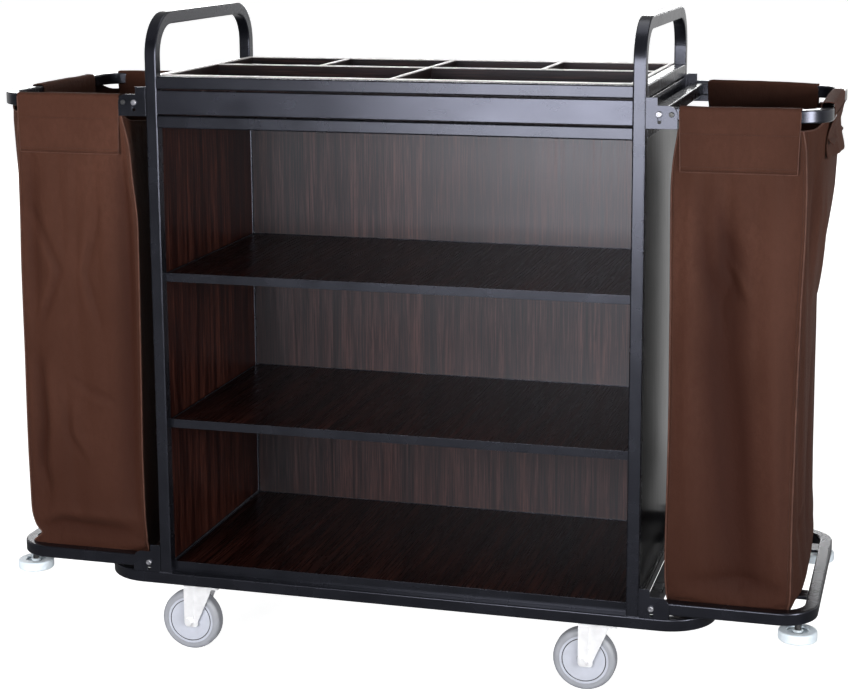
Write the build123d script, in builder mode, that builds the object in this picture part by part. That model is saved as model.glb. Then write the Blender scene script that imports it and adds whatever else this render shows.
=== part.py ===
import os

from build123d import *

# Housekeeping trolley: open shelf cabinet on a base ring, a divided tray on top, and a folding
# bag wing at each end. X runs along the trolley, Y from the open front to the back, Z up from
# the floor. All sizes are in millimetres.

# Square steel tube of the frame
TUBE = 25.0
TUBE_WALL = 1.5
TUBE_CORNER = 3.0

# Cabinet, measured over its corner posts
CABINET_LENGTH = 1016.0
CABINET_DEPTH = 550.0
HANDLE_RISE = 126.0
HANDLE_BEND = 75.0

# Base ring, reaching past the posts at both ends
RING_OVERHANG = 142.0
RING_BEND = 87.5

# Cross channels that carry the casters
CHANNEL_WIDTH = 116.0
CHANNEL_SHEET = 4.0
CHANNEL_LIP = 18.0

# Casters
WHEEL_D = 130.0
WHEEL_WIDTH = 32.0
TYRE_HEIGHT = 14.0
HUB_WIDTH = 30.0
HUB_RIM = 7.0
HUB_GROOVE = 1.8
HUB_GROOVE_DEPTH = 2.5
HUB_BOSS_D = 28.0
HUB_SEAT_GAP = 0.05
TREAD_ROUND = 9.0
WHEEL_TOP_GAP = 10.0
CASTER_INSET_X = 80.0
CASTER_INSET_Y = 70.0
CASTER_TRAIL = 38.0
CASTER_PLATE_X = 105.0
CASTER_PLATE_Y = 80.0
CASTER_PLATE = 4.0
CASTER_BOLT_X = 80.0
CASTER_BOLT_Y = 58.0
CASTER_BOLT_D = 8.0
CASTER_BOLT_HEAD_D = 14.0
CASTER_BOLT_HEAD = 5.5
CASTER_NUT = 6.5
RACE_D = 56.0
UPPER_RACE = 8.0
RACE_GAP = 0.5
LOWER_RACE = 6.0
KINGPIN_D = 12.0
KINGPIN_HEAD_D = 22.0
KINGPIN_HEAD = 4.0
FORK_SHEET = 4.0
FORK_LEG = 3.0
FORK_RIB = 1.2
FORK_BEHIND_AXLE = 11.0
FORK_AHEAD_OF_AXLE = 19.0
FORK_BELOW_AXLE = 12.0
FORK_AHEAD_OF_KINGPIN = 16.0
FORK_TOE_ROUND = 7.0
WHEEL_SIDE_GAP = 3.0
AXLE_D = 10.0
AXLE_HEAD_D = 17.0
AXLE_HEAD = 6.0
RUNNING_FIT = 0.1
SNUG_FIT = 0.05

# Shelves
SHELF_RISE = 21.5
SHELF_PITCH = 310.0
SHELF_EDGE = 18.0
SHELF_ANGLE_LEG = 22.0
SHELF_ANGLE_SHEET = 1.5
SHELF_SETBACK = 19.0
SHELF_BOARD_DROP = 1.5
SHELF_BOARD_GAP = 0.5

# Side and back panels
SIDE_PANEL = 14.0
SIDE_PANEL_INSET = 8.0
BACK_PANEL = 9.0
BACK_PANEL_SETBACK = 6.0

# Tray
TRAY_ABOVE_SHELF = 301.0
FASCIA_BAND = 54.0
FASCIA_BOARD = 12.0
FASCIA_GROOVE = 3.0
FASCIA_INSET = 0.5
FASCIA_ROUND = 1.5
TRAY_WALL = 9.0
TRAY_FLOOR = 9.0
TRAY_TRIM = 2.0
LONG_DIVIDER_Y = 40.0

# Wing frames
WING_OVERHANG = 342.0
WING_BEND = 62.5
PIVOT_OUT = 25.0
UPPER_WING_RISE = 26.0
LOWER_WING_RISE = 20.5
WING_SIDE_GAP = 0.5
WING_END_PLATE = 5.0
FLAT_BAR_WIDTH = 40.0
FLAT_BAR = 6.0
FLAT_BAR_INSET = 126.5

# Wing brackets and their bolts
BRACKET_SHEET = 3.0
BRACKET_WIDTH = 60.0
BRACKET_PLATE = 44.0
BRACKET_TAB = 15.0
BRACKET_TAB_WIDTH = 22.0
BRACKET_TOP_ROUND = 18.0
DROP_SLOT_WIDTH = 7.0
DROP_SLOT_DEPTH = 18.0
DROP_SLOT_SHIFT = 1.0
LEDGE_LENGTH = 20.0
LEDGE_WIDTH = 14.0
LEDGE_GAP = 0.3
UPPER_BRACKET_DROP = 27.5
PIVOT_BOLT_D = 10.0
PIVOT_BOLT_LENGTH = 18.0
PIVOT_HEAD_D = 12.0
PIVOT_HEAD = 5.0
PIVOT_SOCKET = 5.0
LOCK_OUT = 49.0
LOCK_BOLT_D = 8.0
LOCK_HEAD_D = 10.0
LOCK_HEAD = 4.0
LOCK_SOCKET = 4.0

# Bumper rollers under the lower wing corners
ROLLER_D = 76.0
ROLLER_HEIGHT = 20.0
ROLLER_ROUND = 4.0
ROLLER_RECESS_D = 44.0
ROLLER_RECESS = 5.0
ROLLER_BOSS_D = 20.0
ROLLER_DROP = 15.0
ROLLER_INSET_X = 35.0
ROLLER_INSET_Y = 31.5
ROLLER_BOLT_D = 8.0
ROLLER_SPACER_D = 13.0
ROLLER_HEAD_D = 18.0
ROLLER_HEAD = 3.0
ROLLER_END_PLAY = 0.4

# Bags
BAG_WALL = 3.0
BAG_GAP = 0.5
BAG_BAR_GAP = 7.5
BAG_TOP_DROP = 36.0
BAG_MIDDLE_DROP = 326.0
BAG_BOTTOM_INSET_X = 36.0
BAG_MIDDLE_INSET_X = 38.0
BAG_BOTTOM_INSET_Y = 25.5
BAG_MIDDLE_INSET_Y = 5.5
BAG_CORNER = 8.0
BAG_TOP_CORNER_X = 53.5
BAG_TOP_CORNER_Y = 75.0
SLEEVE_BRACKET_GAP = 3.0
SLEEVE_CORNER_GAP = 6.0

# Levels and faces that follow from the sizes above
HALF_LENGTH = CABINET_LENGTH / 2
HALF_DEPTH = CABINET_DEPTH / 2
INNER_X = HALF_LENGTH - TUBE
INNER_Y = HALF_DEPTH - TUBE
HUB_D = WHEEL_D - 2 * TYRE_HEIGHT
HUB_DISC_D = HUB_D - 2 * HUB_RIM
FORK_RIB_WIDTH = 2 * FORK_BEHIND_AXLE
CASTER_SPACING_X = CABINET_LENGTH - 2 * CASTER_INSET_X
CASTER_SPACING_Y = CABINET_DEPTH - 2 * CASTER_INSET_Y
SWIVEL_HEIGHT = FORK_SHEET + LOWER_RACE + RACE_GAP + UPPER_RACE + CASTER_PLATE
CASTER_HEIGHT = WHEEL_D + WHEEL_TOP_GAP + SWIVEL_HEIGHT
RING_BOTTOM = CASTER_HEIGHT
RING_TOP = RING_BOTTOM + TUBE
LOWER_SHELF_TOP = RING_TOP + SHELF_RISE
MIDDLE_SHELF_TOP = LOWER_SHELF_TOP + SHELF_PITCH
UPPER_SHELF_TOP = MIDDLE_SHELF_TOP + SHELF_PITCH
TRAY_BOTTOM = UPPER_SHELF_TOP + TRAY_ABOVE_SHELF
LOWER_RAIL_TOP = TRAY_BOTTOM + TUBE
UPPER_RAIL_BOTTOM = LOWER_RAIL_TOP + FASCIA_BAND
TRAY_TOP = UPPER_RAIL_BOTTOM + TUBE
TRAY_FLOOR_TOP = TRAY_BOTTOM + TRAY_FLOOR
TRAY_IN_X = INNER_X - TRAY_WALL
TRAY_IN_Y = INNER_Y - TRAY_WALL
SIDE_DIVIDER_X = INNER_X / 2
HANDLE_TOP = TRAY_TOP + HANDLE_RISE
BACK_PANEL_FACE = INNER_Y + BACK_PANEL_SETBACK
AXLE_Z = WHEEL_D / 2
WING_HALF_DEPTH = HALF_DEPTH - BRACKET_SHEET - WING_SIDE_GAP
WING_REACH = HALF_LENGTH + WING_OVERHANG
WING_PIVOT_X = HALF_LENGTH + PIVOT_OUT
LOCK_BOLT_X = HALF_LENGTH + LOCK_OUT
UPPER_WING_Z = LOWER_RAIL_TOP + UPPER_WING_RISE
LOWER_WING_Z = RING_TOP + LOWER_WING_RISE
LOWER_WING_BOTTOM = LOWER_WING_Z - TUBE / 2
LOWER_WING_TOP = LOWER_WING_Z + TUBE / 2
BAR_FACE_X = WING_PIVOT_X + TUBE / 2
FLAT_BAR_SPACING = 2 * (WING_HALF_DEPTH - FLAT_BAR_INSET)
ROLLER_X = WING_REACH - ROLLER_INSET_X
ROLLER_Y = WING_HALF_DEPTH - ROLLER_INSET_Y
BAG_TOP_Z = UPPER_WING_Z - BAG_TOP_DROP
BAG_MIDDLE_Z = UPPER_WING_Z - BAG_MIDDLE_DROP

SIDES = {"left": -1, "right": 1}
CORNERS = {
    "front_left": (-1, -1),
    "front_right": (1, -1),
    "rear_left": (-1, 1),
    "rear_right": (1, 1),
}

os.makedirs("parts", exist_ok=True)


def save(part, name):
    """Label a finished piece and write it as one STEP file."""
    part.label = name
    export_step(part, f"parts/{name}.step")


def tube_section():
    """Draw the hollow square tube's section in the open sketch."""
    RectangleRounded(TUBE, TUBE, TUBE_CORNER)
    Rectangle(TUBE - 2 * TUBE_WALL, TUBE - 2 * TUBE_WALL, mode=Mode.SUBTRACT)


def rails_between_posts(bottom):
    """Make four tubes that join the corner posts in one level ring."""
    middle = bottom + TUBE / 2
    with BuildPart() as rails:
        with BuildSketch(Plane.YZ.offset(-INNER_X)):
            with Locations((TUBE / 2 - HALF_DEPTH, middle), (HALF_DEPTH - TUBE / 2, middle)):
                tube_section()
        extrude(amount=2 * INNER_X)
        with BuildSketch(Plane.XZ.offset(-INNER_Y)):
            with Locations((TUBE / 2 - HALF_LENGTH, middle), (HALF_LENGTH - TUBE / 2, middle)):
                tube_section()
        extrude(amount=2 * INNER_Y)
    return rails.part


# Base ring with rounded ends, on which the posts stand
ring_x = HALF_LENGTH + RING_OVERHANG - TUBE / 2
ring_y = HALF_DEPTH - TUBE / 2
ring_z = RING_BOTTOM + TUBE / 2
with BuildPart() as base_ring:
    with BuildLine(Plane.XY.offset(ring_z)) as ring_path:
        FilletPolyline(
            (-ring_x, -ring_y), (ring_x, -ring_y), (ring_x, ring_y), (-ring_x, ring_y),
            radius=RING_BEND, close=True,
        )
    ring_start = Plane(ring_path.line @ 0, x_dir=(0, 0, 1), z_dir=ring_path.line % 0)
    with BuildSketch(ring_start):
        tube_section()
    sweep(path=ring_path.line)
save(base_ring.part, "base_ring")

# Cross channels between the ring's long sides, holed for the caster bolts
with BuildPart() as cross_channels:
    for side in SIDES.values():
        channel_x = side * CASTER_SPACING_X / 2
        with BuildSketch(Plane.XZ.offset(-INNER_Y)):
            with Locations((channel_x, RING_BOTTOM)):
                Rectangle(CHANNEL_WIDTH, CHANNEL_LIP, align=(Align.CENTER, Align.MIN))
            with Locations((channel_x, RING_BOTTOM + CHANNEL_SHEET)):
                Rectangle(
                    CHANNEL_WIDTH - 2 * CHANNEL_SHEET, CHANNEL_LIP,
                    align=(Align.CENTER, Align.MIN), mode=Mode.SUBTRACT,
                )
        extrude(amount=2 * INNER_Y)
    with BuildSketch(Plane.XY.offset(RING_BOTTOM)):
        with GridLocations(CASTER_SPACING_X, CASTER_SPACING_Y, 2, 2):
            with GridLocations(CASTER_BOLT_X, CASTER_BOLT_Y, 2, 2):
                Circle(CASTER_BOLT_D / 2 + SNUG_FIT)
    extrude(amount=CHANNEL_SHEET, mode=Mode.SUBTRACT)
save(cross_channels.part, "cross_channels")

# End hoops: two posts and the push handle bent from one tube
for side_name, side in SIDES.items():
    hoop_x = side * (HALF_LENGTH - TUBE / 2)
    post_y = HALF_DEPTH - TUBE / 2
    handle_z = HANDLE_TOP - TUBE / 2
    with BuildPart() as end_hoop:
        with BuildLine(Plane.YZ.offset(hoop_x)) as hoop_path:
            FilletPolyline(
                (-post_y, RING_TOP), (-post_y, handle_z), (post_y, handle_z), (post_y, RING_TOP),
                radius=HANDLE_BEND,
            )
        with BuildSketch(Plane.XY.offset(RING_TOP)):
            with Locations((hoop_x, -post_y)):
                tube_section()
        sweep(path=hoop_path.line)
    save(end_hoop.part, f"{side_name}_hoop")

# Bottom rails across the two ends, under the side panels
with BuildPart() as bottom_side_rails:
    with BuildSketch(Plane.XZ.offset(-INNER_Y)):
        with GridLocations(CABINET_LENGTH - TUBE, 0, 2, 1):
            with Locations((0, RING_TOP + TUBE / 2)):
                tube_section()
    extrude(amount=2 * INNER_Y)
save(bottom_side_rails.part, "bottom_side_rails")

# Side panels between front and rear posts
panel_bottom = RING_TOP + TUBE
panel_height = TRAY_BOTTOM - panel_bottom
for side_name, side in SIDES.items():
    with BuildPart() as side_panel:
        panel_x = side * (HALF_LENGTH - SIDE_PANEL_INSET - SIDE_PANEL / 2)
        with Locations((panel_x, 0, panel_bottom)):
            Box(SIDE_PANEL, 2 * INNER_Y, panel_height, align=(Align.CENTER, Align.CENTER, Align.MIN))
    save(side_panel.part, f"{side_name}_side_panel")

# Back panel between the rear posts
with BuildPart() as back_panel:
    with Locations((0, BACK_PANEL_FACE, RING_TOP)):
        Box(
            2 * INNER_X, BACK_PANEL, TRAY_BOTTOM - RING_TOP,
            align=(Align.CENTER, Align.MIN, Align.MIN),
        )
save(back_panel.part, "back_panel")

# Shelves: a rectangle of steel angle with a laminate board lying in it
shelf_front = SHELF_SETBACK - HALF_DEPTH
shelf_depth = BACK_PANEL_FACE - shelf_front
shelf_y = (BACK_PANEL_FACE + shelf_front) / 2
shelves = {
    "lower": (LOWER_SHELF_TOP, SHELF_RISE),
    "middle": (MIDDLE_SHELF_TOP, SHELF_EDGE),
    "upper": (UPPER_SHELF_TOP, SHELF_EDGE),
}
for level, (shelf_top, shelf_edge) in shelves.items():
    shelf_bottom = shelf_top - shelf_edge
    with BuildPart() as shelf_frame:
        with BuildSketch(Plane.XY.offset(shelf_bottom)):
            with Locations((0, shelf_y)):
                Rectangle(2 * INNER_X, shelf_depth)
        extrude(amount=shelf_edge)
        with BuildSketch(Plane.XY.offset(shelf_bottom + SHELF_ANGLE_SHEET)):
            with Locations((0, shelf_y)):
                Rectangle(2 * (INNER_X - SHELF_ANGLE_SHEET), shelf_depth - 2 * SHELF_ANGLE_SHEET)
        extrude(amount=shelf_edge, mode=Mode.SUBTRACT)
        with BuildSketch(Plane.XY.offset(shelf_bottom)):
            with Locations((0, shelf_y)):
                Rectangle(2 * (INNER_X - SHELF_ANGLE_LEG), shelf_depth - 2 * SHELF_ANGLE_LEG)
        extrude(amount=shelf_edge, mode=Mode.SUBTRACT)
    save(shelf_frame.part, f"{level}_shelf_frame")

    board_margin = SHELF_ANGLE_SHEET + SHELF_BOARD_GAP
    board = shelf_edge - SHELF_ANGLE_SHEET - SHELF_BOARD_DROP
    with BuildPart() as shelf_board:
        with Locations((0, shelf_y, shelf_bottom + SHELF_ANGLE_SHEET)):
            Box(
                2 * (INNER_X - board_margin), shelf_depth - 2 * board_margin, board,
                align=(Align.CENTER, Align.CENTER, Align.MIN),
            )
    save(shelf_board.part, f"{level}_shelf_board")

# Tray: two rings of tube with a fascia board between them on each side
save(rails_between_posts(TRAY_BOTTOM), "tray_lower_rails")
save(rails_between_posts(UPPER_RAIL_BOTTOM), "tray_upper_rails")

fascia_height = FASCIA_BAND - 2 * FASCIA_GROOVE
fascia_z = LOWER_RAIL_TOP + FASCIA_BAND / 2
fascia_out = FASCIA_INSET + FASCIA_BOARD / 2
with BuildPart() as tray_fascias:
    with GridLocations(0, 2 * (HALF_DEPTH - fascia_out), 1, 2):
        with Locations((0, 0, fascia_z)):
            Box(2 * INNER_X, FASCIA_BOARD, fascia_height)
    with GridLocations(2 * (HALF_LENGTH - fascia_out), 0, 2, 1):
        with Locations((0, 0, fascia_z)):
            Box(FASCIA_BOARD, 2 * INNER_Y, fascia_height)
    long_edges = tray_fascias.edges().filter_by(Axis.X) + tray_fascias.edges().filter_by(Axis.Y)
    fillet(long_edges.filter_by(lambda edge: edge.length > FASCIA_BAND), radius=FASCIA_ROUND)
save(tray_fascias.part, "tray_fascias")

with BuildPart() as tray_floor:
    with Locations((0, 0, TRAY_BOTTOM)):
        Box(2 * INNER_X, 2 * INNER_Y, TRAY_FLOOR, align=(Align.CENTER, Align.CENTER, Align.MIN))
save(tray_floor.part, "tray_floor")

with BuildPart() as tray_liner:
    with BuildSketch(Plane.XY.offset(TRAY_FLOOR_TOP)):
        Rectangle(2 * INNER_X, 2 * INNER_Y)
        Rectangle(2 * TRAY_IN_X, 2 * TRAY_IN_Y, mode=Mode.SUBTRACT)
    extrude(amount=TRAY_TOP - TRAY_FLOOR_TOP)
save(tray_liner.part, "tray_liner")

# Tray dividers: one long board, a cross board in the middle and one in each rear half
divider_height = TRAY_TOP - TRAY_FLOOR_TOP
with BuildPart() as tray_long_divider:
    with Locations((0, LONG_DIVIDER_Y, TRAY_FLOOR_TOP)):
        Box(2 * TRAY_IN_X, TRAY_WALL, divider_height, align=(Align.CENTER, Align.CENTER, Align.MIN))
save(tray_long_divider.part, "tray_long_divider")

front_row_depth = LONG_DIVIDER_Y - TRAY_WALL / 2 + TRAY_IN_Y
rear_row_depth = TRAY_IN_Y - LONG_DIVIDER_Y - TRAY_WALL / 2
front_row_y = front_row_depth / 2 - TRAY_IN_Y
rear_row_y = TRAY_IN_Y - rear_row_depth / 2
with BuildPart() as tray_cross_dividers:
    with Locations((0, front_row_y, TRAY_FLOOR_TOP)):
        Box(TRAY_WALL, front_row_depth, divider_height, align=(Align.CENTER, Align.CENTER, Align.MIN))
    with Locations(*[(x, rear_row_y, TRAY_FLOOR_TOP) for x in (-SIDE_DIVIDER_X, 0, SIDE_DIVIDER_X)]):
        Box(TRAY_WALL, rear_row_depth, divider_height, align=(Align.CENTER, Align.CENTER, Align.MIN))
save(tray_cross_dividers.part, "tray_cross_dividers")

# Bright edging along the tops of the tray's walls and dividers
with BuildPart() as tray_edge_trim:
    with BuildSketch(Plane.XY.offset(TRAY_TOP)):
        Rectangle(2 * INNER_X, 2 * INNER_Y)
        Rectangle(2 * TRAY_IN_X, 2 * TRAY_IN_Y, mode=Mode.SUBTRACT)
        with Locations((0, LONG_DIVIDER_Y)):
            Rectangle(2 * TRAY_IN_X, TRAY_WALL)
        with Locations((0, front_row_y)):
            Rectangle(TRAY_WALL, front_row_depth)
        with Locations(*[(x, rear_row_y) for x in (-SIDE_DIVIDER_X, 0, SIDE_DIVIDER_X)]):
            Rectangle(TRAY_WALL, rear_row_depth)
    extrude(amount=TRAY_TRIM)
save(tray_edge_trim.part, "tray_edge_trim")


def wing_brackets(side, bottom, pivot_z, with_lock, with_ledge):
    """Make the front and rear bracket of one wing frame.

    Each is an angle plate on a post's outer face, with a raised tab beside the post and a
    drop slot under the pivot hole. It has a hole for a lock bolt, or a ledge under the bar.
    """
    plate_start = side * HALF_LENGTH
    with BuildPart() as brackets:
        with BuildSketch(Plane.XZ.offset(HALF_DEPTH)):
            with Locations((plate_start + side * BRACKET_WIDTH / 2, bottom + BRACKET_PLATE / 2)):
                Rectangle(BRACKET_WIDTH, BRACKET_PLATE)
            outer_edge = vertices().sort_by(Axis.X, reverse=side > 0)[:2].sort_by(Axis.Y)
            fillet(outer_edge[-1], radius=BRACKET_TOP_ROUND)
            with Locations((plate_start + side * BRACKET_TAB_WIDTH / 2, bottom + BRACKET_PLATE)):
                Rectangle(BRACKET_TAB_WIDTH, BRACKET_TAB, align=(Align.CENTER, Align.MIN))
            with Locations((side * WING_PIVOT_X, pivot_z)):
                Circle(PIVOT_BOLT_D / 2 + SNUG_FIT, mode=Mode.SUBTRACT)
            with Locations((side * (WING_PIVOT_X + DROP_SLOT_SHIFT), pivot_z - DROP_SLOT_DEPTH / 2)):
                SlotOverall(DROP_SLOT_DEPTH, DROP_SLOT_WIDTH, rotation=90, mode=Mode.SUBTRACT)
            if with_lock:
                with Locations((side * LOCK_BOLT_X, pivot_z)):
                    Circle(LOCK_BOLT_D / 2 + SNUG_FIT, mode=Mode.SUBTRACT)
        extrude(amount=-BRACKET_SHEET)
        with Locations((plate_start + side * BRACKET_SHEET / 2, -HALF_DEPTH, bottom)):
            Box(
                BRACKET_SHEET, TUBE, BRACKET_PLATE + BRACKET_TAB,
                align=(Align.CENTER, Align.MIN, Align.MIN),
            )
        if with_ledge:
            ledge_x = side * (HALF_LENGTH + BRACKET_WIDTH - LEDGE_LENGTH / 2)
            with Locations((ledge_x, BRACKET_SHEET - HALF_DEPTH, pivot_z - TUBE / 2 - LEDGE_GAP)):
                Box(
                    LEDGE_LENGTH, LEDGE_WIDTH, BRACKET_SHEET,
                    align=(Align.CENTER, Align.MIN, Align.MAX),
                )
        mirror(about=Plane.XZ)
    return brackets.part


def wing_frame(side, middle_z):
    """Make a wing frame: a bent U of tube closed by the cross-bar that it pivots on."""
    arm_y = WING_HALF_DEPTH - TUBE / 2
    outer_x = side * (WING_REACH - TUBE / 2)
    joint_x = side * BAR_FACE_X
    pivot_x = side * WING_PIVOT_X
    with BuildPart() as frame:
        with BuildLine(Plane.XY.offset(middle_z)) as arm_path:
            FilletPolyline(
                (joint_x, -arm_y), (outer_x, -arm_y), (outer_x, arm_y), (joint_x, arm_y),
                radius=WING_BEND,
            )
        with BuildSketch(Plane.YZ.offset(joint_x)):
            with Locations((-arm_y, middle_z)):
                tube_section()
        sweep(path=arm_path.line)
        with BuildSketch(Plane.XZ.offset(-WING_HALF_DEPTH)):
            with Locations((pivot_x, middle_z)):
                tube_section()
        extrude(amount=2 * WING_HALF_DEPTH)
        with BuildSketch(Plane.XZ.offset(-WING_HALF_DEPTH), Plane.XZ.offset(WING_HALF_DEPTH - WING_END_PLATE)):
            with Locations((pivot_x, middle_z)):
                Rectangle(TUBE - 2 * TUBE_WALL, TUBE - 2 * TUBE_WALL)
                Circle(PIVOT_BOLT_D / 2 + RUNNING_FIT, mode=Mode.SUBTRACT)
        extrude(amount=WING_END_PLATE)
        if middle_z == LOWER_WING_Z:
            bar_length = WING_REACH - TUBE - BAR_FACE_X
            with GridLocations(0, FLAT_BAR_SPACING, 1, 2):
                with Locations((side * (BAR_FACE_X + bar_length / 2), 0, LOWER_WING_TOP)):
                    Box(
                        bar_length, FLAT_BAR_WIDTH, FLAT_BAR,
                        align=(Align.CENTER, Align.CENTER, Align.MAX),
                    )
    return frame.part


# Wing frames and the brackets that they hang in
for side_name, side in SIDES.items():
    upper_bottom = UPPER_WING_Z - UPPER_BRACKET_DROP
    upper_brackets = wing_brackets(side, upper_bottom, UPPER_WING_Z, with_lock=True, with_ledge=False)
    lower_brackets = wing_brackets(side, RING_TOP, LOWER_WING_Z, with_lock=False, with_ledge=True)
    save(upper_brackets, f"upper_{side_name}_brackets")
    save(lower_brackets, f"lower_{side_name}_brackets")
    save(wing_frame(side, UPPER_WING_Z), f"upper_{side_name}_frame")
    save(wing_frame(side, LOWER_WING_Z), f"lower_{side_name}_frame")


def bolts_through_brackets(places, bolt_d, length, head_d, head, socket):
    """Make bolts at the given X and Z places, front and rear, with round socket heads outside."""
    with BuildPart() as bolts:
        with BuildSketch(Plane.XZ.offset(HALF_DEPTH)):
            with Locations(*places):
                Circle(bolt_d / 2)
        extrude(amount=-length)
        with BuildSketch(Plane.XZ.offset(HALF_DEPTH)):
            with Locations(*places):
                Circle(head_d / 2)
        extrude(amount=head)
        rims = bolts.faces().sort_by(Axis.Y)[: len(places)].edges()
        fillet(rims, radius=head / 3)
        with BuildSketch(Plane.XZ.offset(HALF_DEPTH + head)):
            with Locations(*places):
                RegularPolygon(socket / 2, 6, major_radius=False)
        extrude(amount=-head / 2, mode=Mode.SUBTRACT)
        mirror(about=Plane.XZ)
    return bolts.part


# Bolts that the wing frames turn on, and the bolts that lock the upper ones
pivot_places = [(side * WING_PIVOT_X, z) for side in SIDES.values() for z in (LOWER_WING_Z, UPPER_WING_Z)]
lock_places = [(side * LOCK_BOLT_X, UPPER_WING_Z) for side in SIDES.values()]
pivot_bolts = bolts_through_brackets(
    pivot_places, PIVOT_BOLT_D, PIVOT_BOLT_LENGTH, PIVOT_HEAD_D, PIVOT_HEAD, PIVOT_SOCKET
)
lock_bolts = bolts_through_brackets(
    lock_places, LOCK_BOLT_D, BRACKET_SHEET, LOCK_HEAD_D, LOCK_HEAD, LOCK_SOCKET
)
save(pivot_bolts, "pivot_bolts")
save(lock_bolts, "lock_bolts")

# Bumper rollers and the shouldered bolts that they turn on
roller_top = LOWER_WING_BOTTOM - ROLLER_DROP
roller_bottom = roller_top - ROLLER_HEIGHT
for corner_name, (side, end) in CORNERS.items():
    with BuildPart() as roller:
        with Locations((side * ROLLER_X, end * ROLLER_Y, roller_bottom)):
            Cylinder(ROLLER_D / 2, ROLLER_HEIGHT, align=(Align.CENTER, Align.CENTER, Align.MIN))
        fillet(roller.edges().filter_by(GeomType.CIRCLE), radius=ROLLER_ROUND)
        with Locations((side * ROLLER_X, end * ROLLER_Y, roller_top)):
            Cylinder(
                ROLLER_RECESS_D / 2, ROLLER_RECESS,
                align=(Align.CENTER, Align.CENTER, Align.MAX), mode=Mode.SUBTRACT,
            )
            Cylinder(
                ROLLER_BOSS_D / 2, ROLLER_RECESS, align=(Align.CENTER, Align.CENTER, Align.MAX)
            )
        with Locations((side * ROLLER_X, end * ROLLER_Y, roller_bottom)):
            Cylinder(
                ROLLER_RECESS_D / 2, ROLLER_RECESS,
                align=(Align.CENTER, Align.CENTER, Align.MIN), mode=Mode.SUBTRACT,
            )
            Cylinder(
                ROLLER_BOLT_D / 2 + RUNNING_FIT, ROLLER_HEIGHT,
                align=(Align.CENTER, Align.CENTER, Align.MIN), mode=Mode.SUBTRACT,
            )
    save(roller.part, f"{corner_name}_bumper_roller")

hub_bottom = roller_bottom + ROLLER_RECESS
spacer_bottom = roller_top + ROLLER_END_PLAY
head_top = hub_bottom - ROLLER_END_PLAY
for side_name, side in SIDES.items():
    with BuildPart() as roller_bolts:
        with Locations(*[(side * ROLLER_X, y, spacer_bottom) for y in (-ROLLER_Y, ROLLER_Y)]):
            Cylinder(
                ROLLER_SPACER_D / 2, LOWER_WING_BOTTOM - spacer_bottom,
                align=(Align.CENTER, Align.CENTER, Align.MIN),
            )
        with Locations(*[(side * ROLLER_X, y, head_top) for y in (-ROLLER_Y, ROLLER_Y)]):
            Cylinder(
                ROLLER_BOLT_D / 2, spacer_bottom - head_top,
                align=(Align.CENTER, Align.CENTER, Align.MIN),
            )
            Cylinder(ROLLER_HEAD_D / 2, ROLLER_HEAD, align=(Align.CENTER, Align.CENTER, Align.MAX))
    save(roller_bolts.part, f"{side_name}_roller_bolts")

# Caster mounts: top plate, fixed race and kingpin
plate_bottom = CASTER_HEIGHT - CASTER_PLATE
upper_race_bottom = plate_bottom - UPPER_RACE
lower_race_top = upper_race_bottom - RACE_GAP
bridge_top = lower_race_top - LOWER_RACE
bridge_bottom = bridge_top - FORK_SHEET
kingpin_head_top = bridge_bottom - RACE_GAP
with BuildPart() as caster_mounts:
    with BuildSketch(Plane.XY.offset(plate_bottom)):
        with GridLocations(CASTER_SPACING_X, CASTER_SPACING_Y, 2, 2):
            Rectangle(CASTER_PLATE_X, CASTER_PLATE_Y)
        with GridLocations(CASTER_SPACING_X, CASTER_SPACING_Y, 2, 2):
            with GridLocations(CASTER_BOLT_X, CASTER_BOLT_Y, 2, 2):
                Circle(CASTER_BOLT_D / 2 + SNUG_FIT, mode=Mode.SUBTRACT)
    extrude(amount=CASTER_PLATE)
    with BuildSketch(Plane.XY.offset(plate_bottom)):
        with GridLocations(CASTER_SPACING_X, CASTER_SPACING_Y, 2, 2):
            Circle(RACE_D / 2)
    extrude(amount=-UPPER_RACE)
    with BuildSketch(Plane.XY.offset(upper_race_bottom)):
        with GridLocations(CASTER_SPACING_X, CASTER_SPACING_Y, 2, 2):
            Circle(KINGPIN_D / 2)
    extrude(amount=kingpin_head_top - upper_race_bottom)
    with BuildSketch(Plane.XY.offset(kingpin_head_top)):
        with GridLocations(CASTER_SPACING_X, CASTER_SPACING_Y, 2, 2):
            Circle(KINGPIN_HEAD_D / 2)
    extrude(amount=-KINGPIN_HEAD)
save(caster_mounts.part, "caster_mounts")

# Bolts and nuts that hold the caster plates under the channels
channel_top = RING_BOTTOM + CHANNEL_SHEET
with BuildPart() as caster_bolts:
    with BuildSketch(Plane.XY.offset(plate_bottom)):
        with GridLocations(CASTER_SPACING_X, CASTER_SPACING_Y, 2, 2):
            with GridLocations(CASTER_BOLT_X, CASTER_BOLT_Y, 2, 2):
                Circle(CASTER_BOLT_D / 2)
    extrude(amount=channel_top - plate_bottom)
    with BuildSketch(Plane.XY.offset(plate_bottom)):
        with GridLocations(CASTER_SPACING_X, CASTER_SPACING_Y, 2, 2):
            with GridLocations(CASTER_BOLT_X, CASTER_BOLT_Y, 2, 2):
                RegularPolygon(CASTER_BOLT_HEAD_D / 2, 6)
    extrude(amount=-CASTER_BOLT_HEAD)
    with BuildSketch(Plane.XY.offset(channel_top)):
        with GridLocations(CASTER_SPACING_X, CASTER_SPACING_Y, 2, 2):
            with GridLocations(CASTER_BOLT_X, CASTER_BOLT_Y, 2, 2):
                RegularPolygon(CASTER_BOLT_HEAD_D / 2, 6)
    extrude(amount=CASTER_NUT)
save(caster_bolts.part, "caster_bolts")

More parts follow.
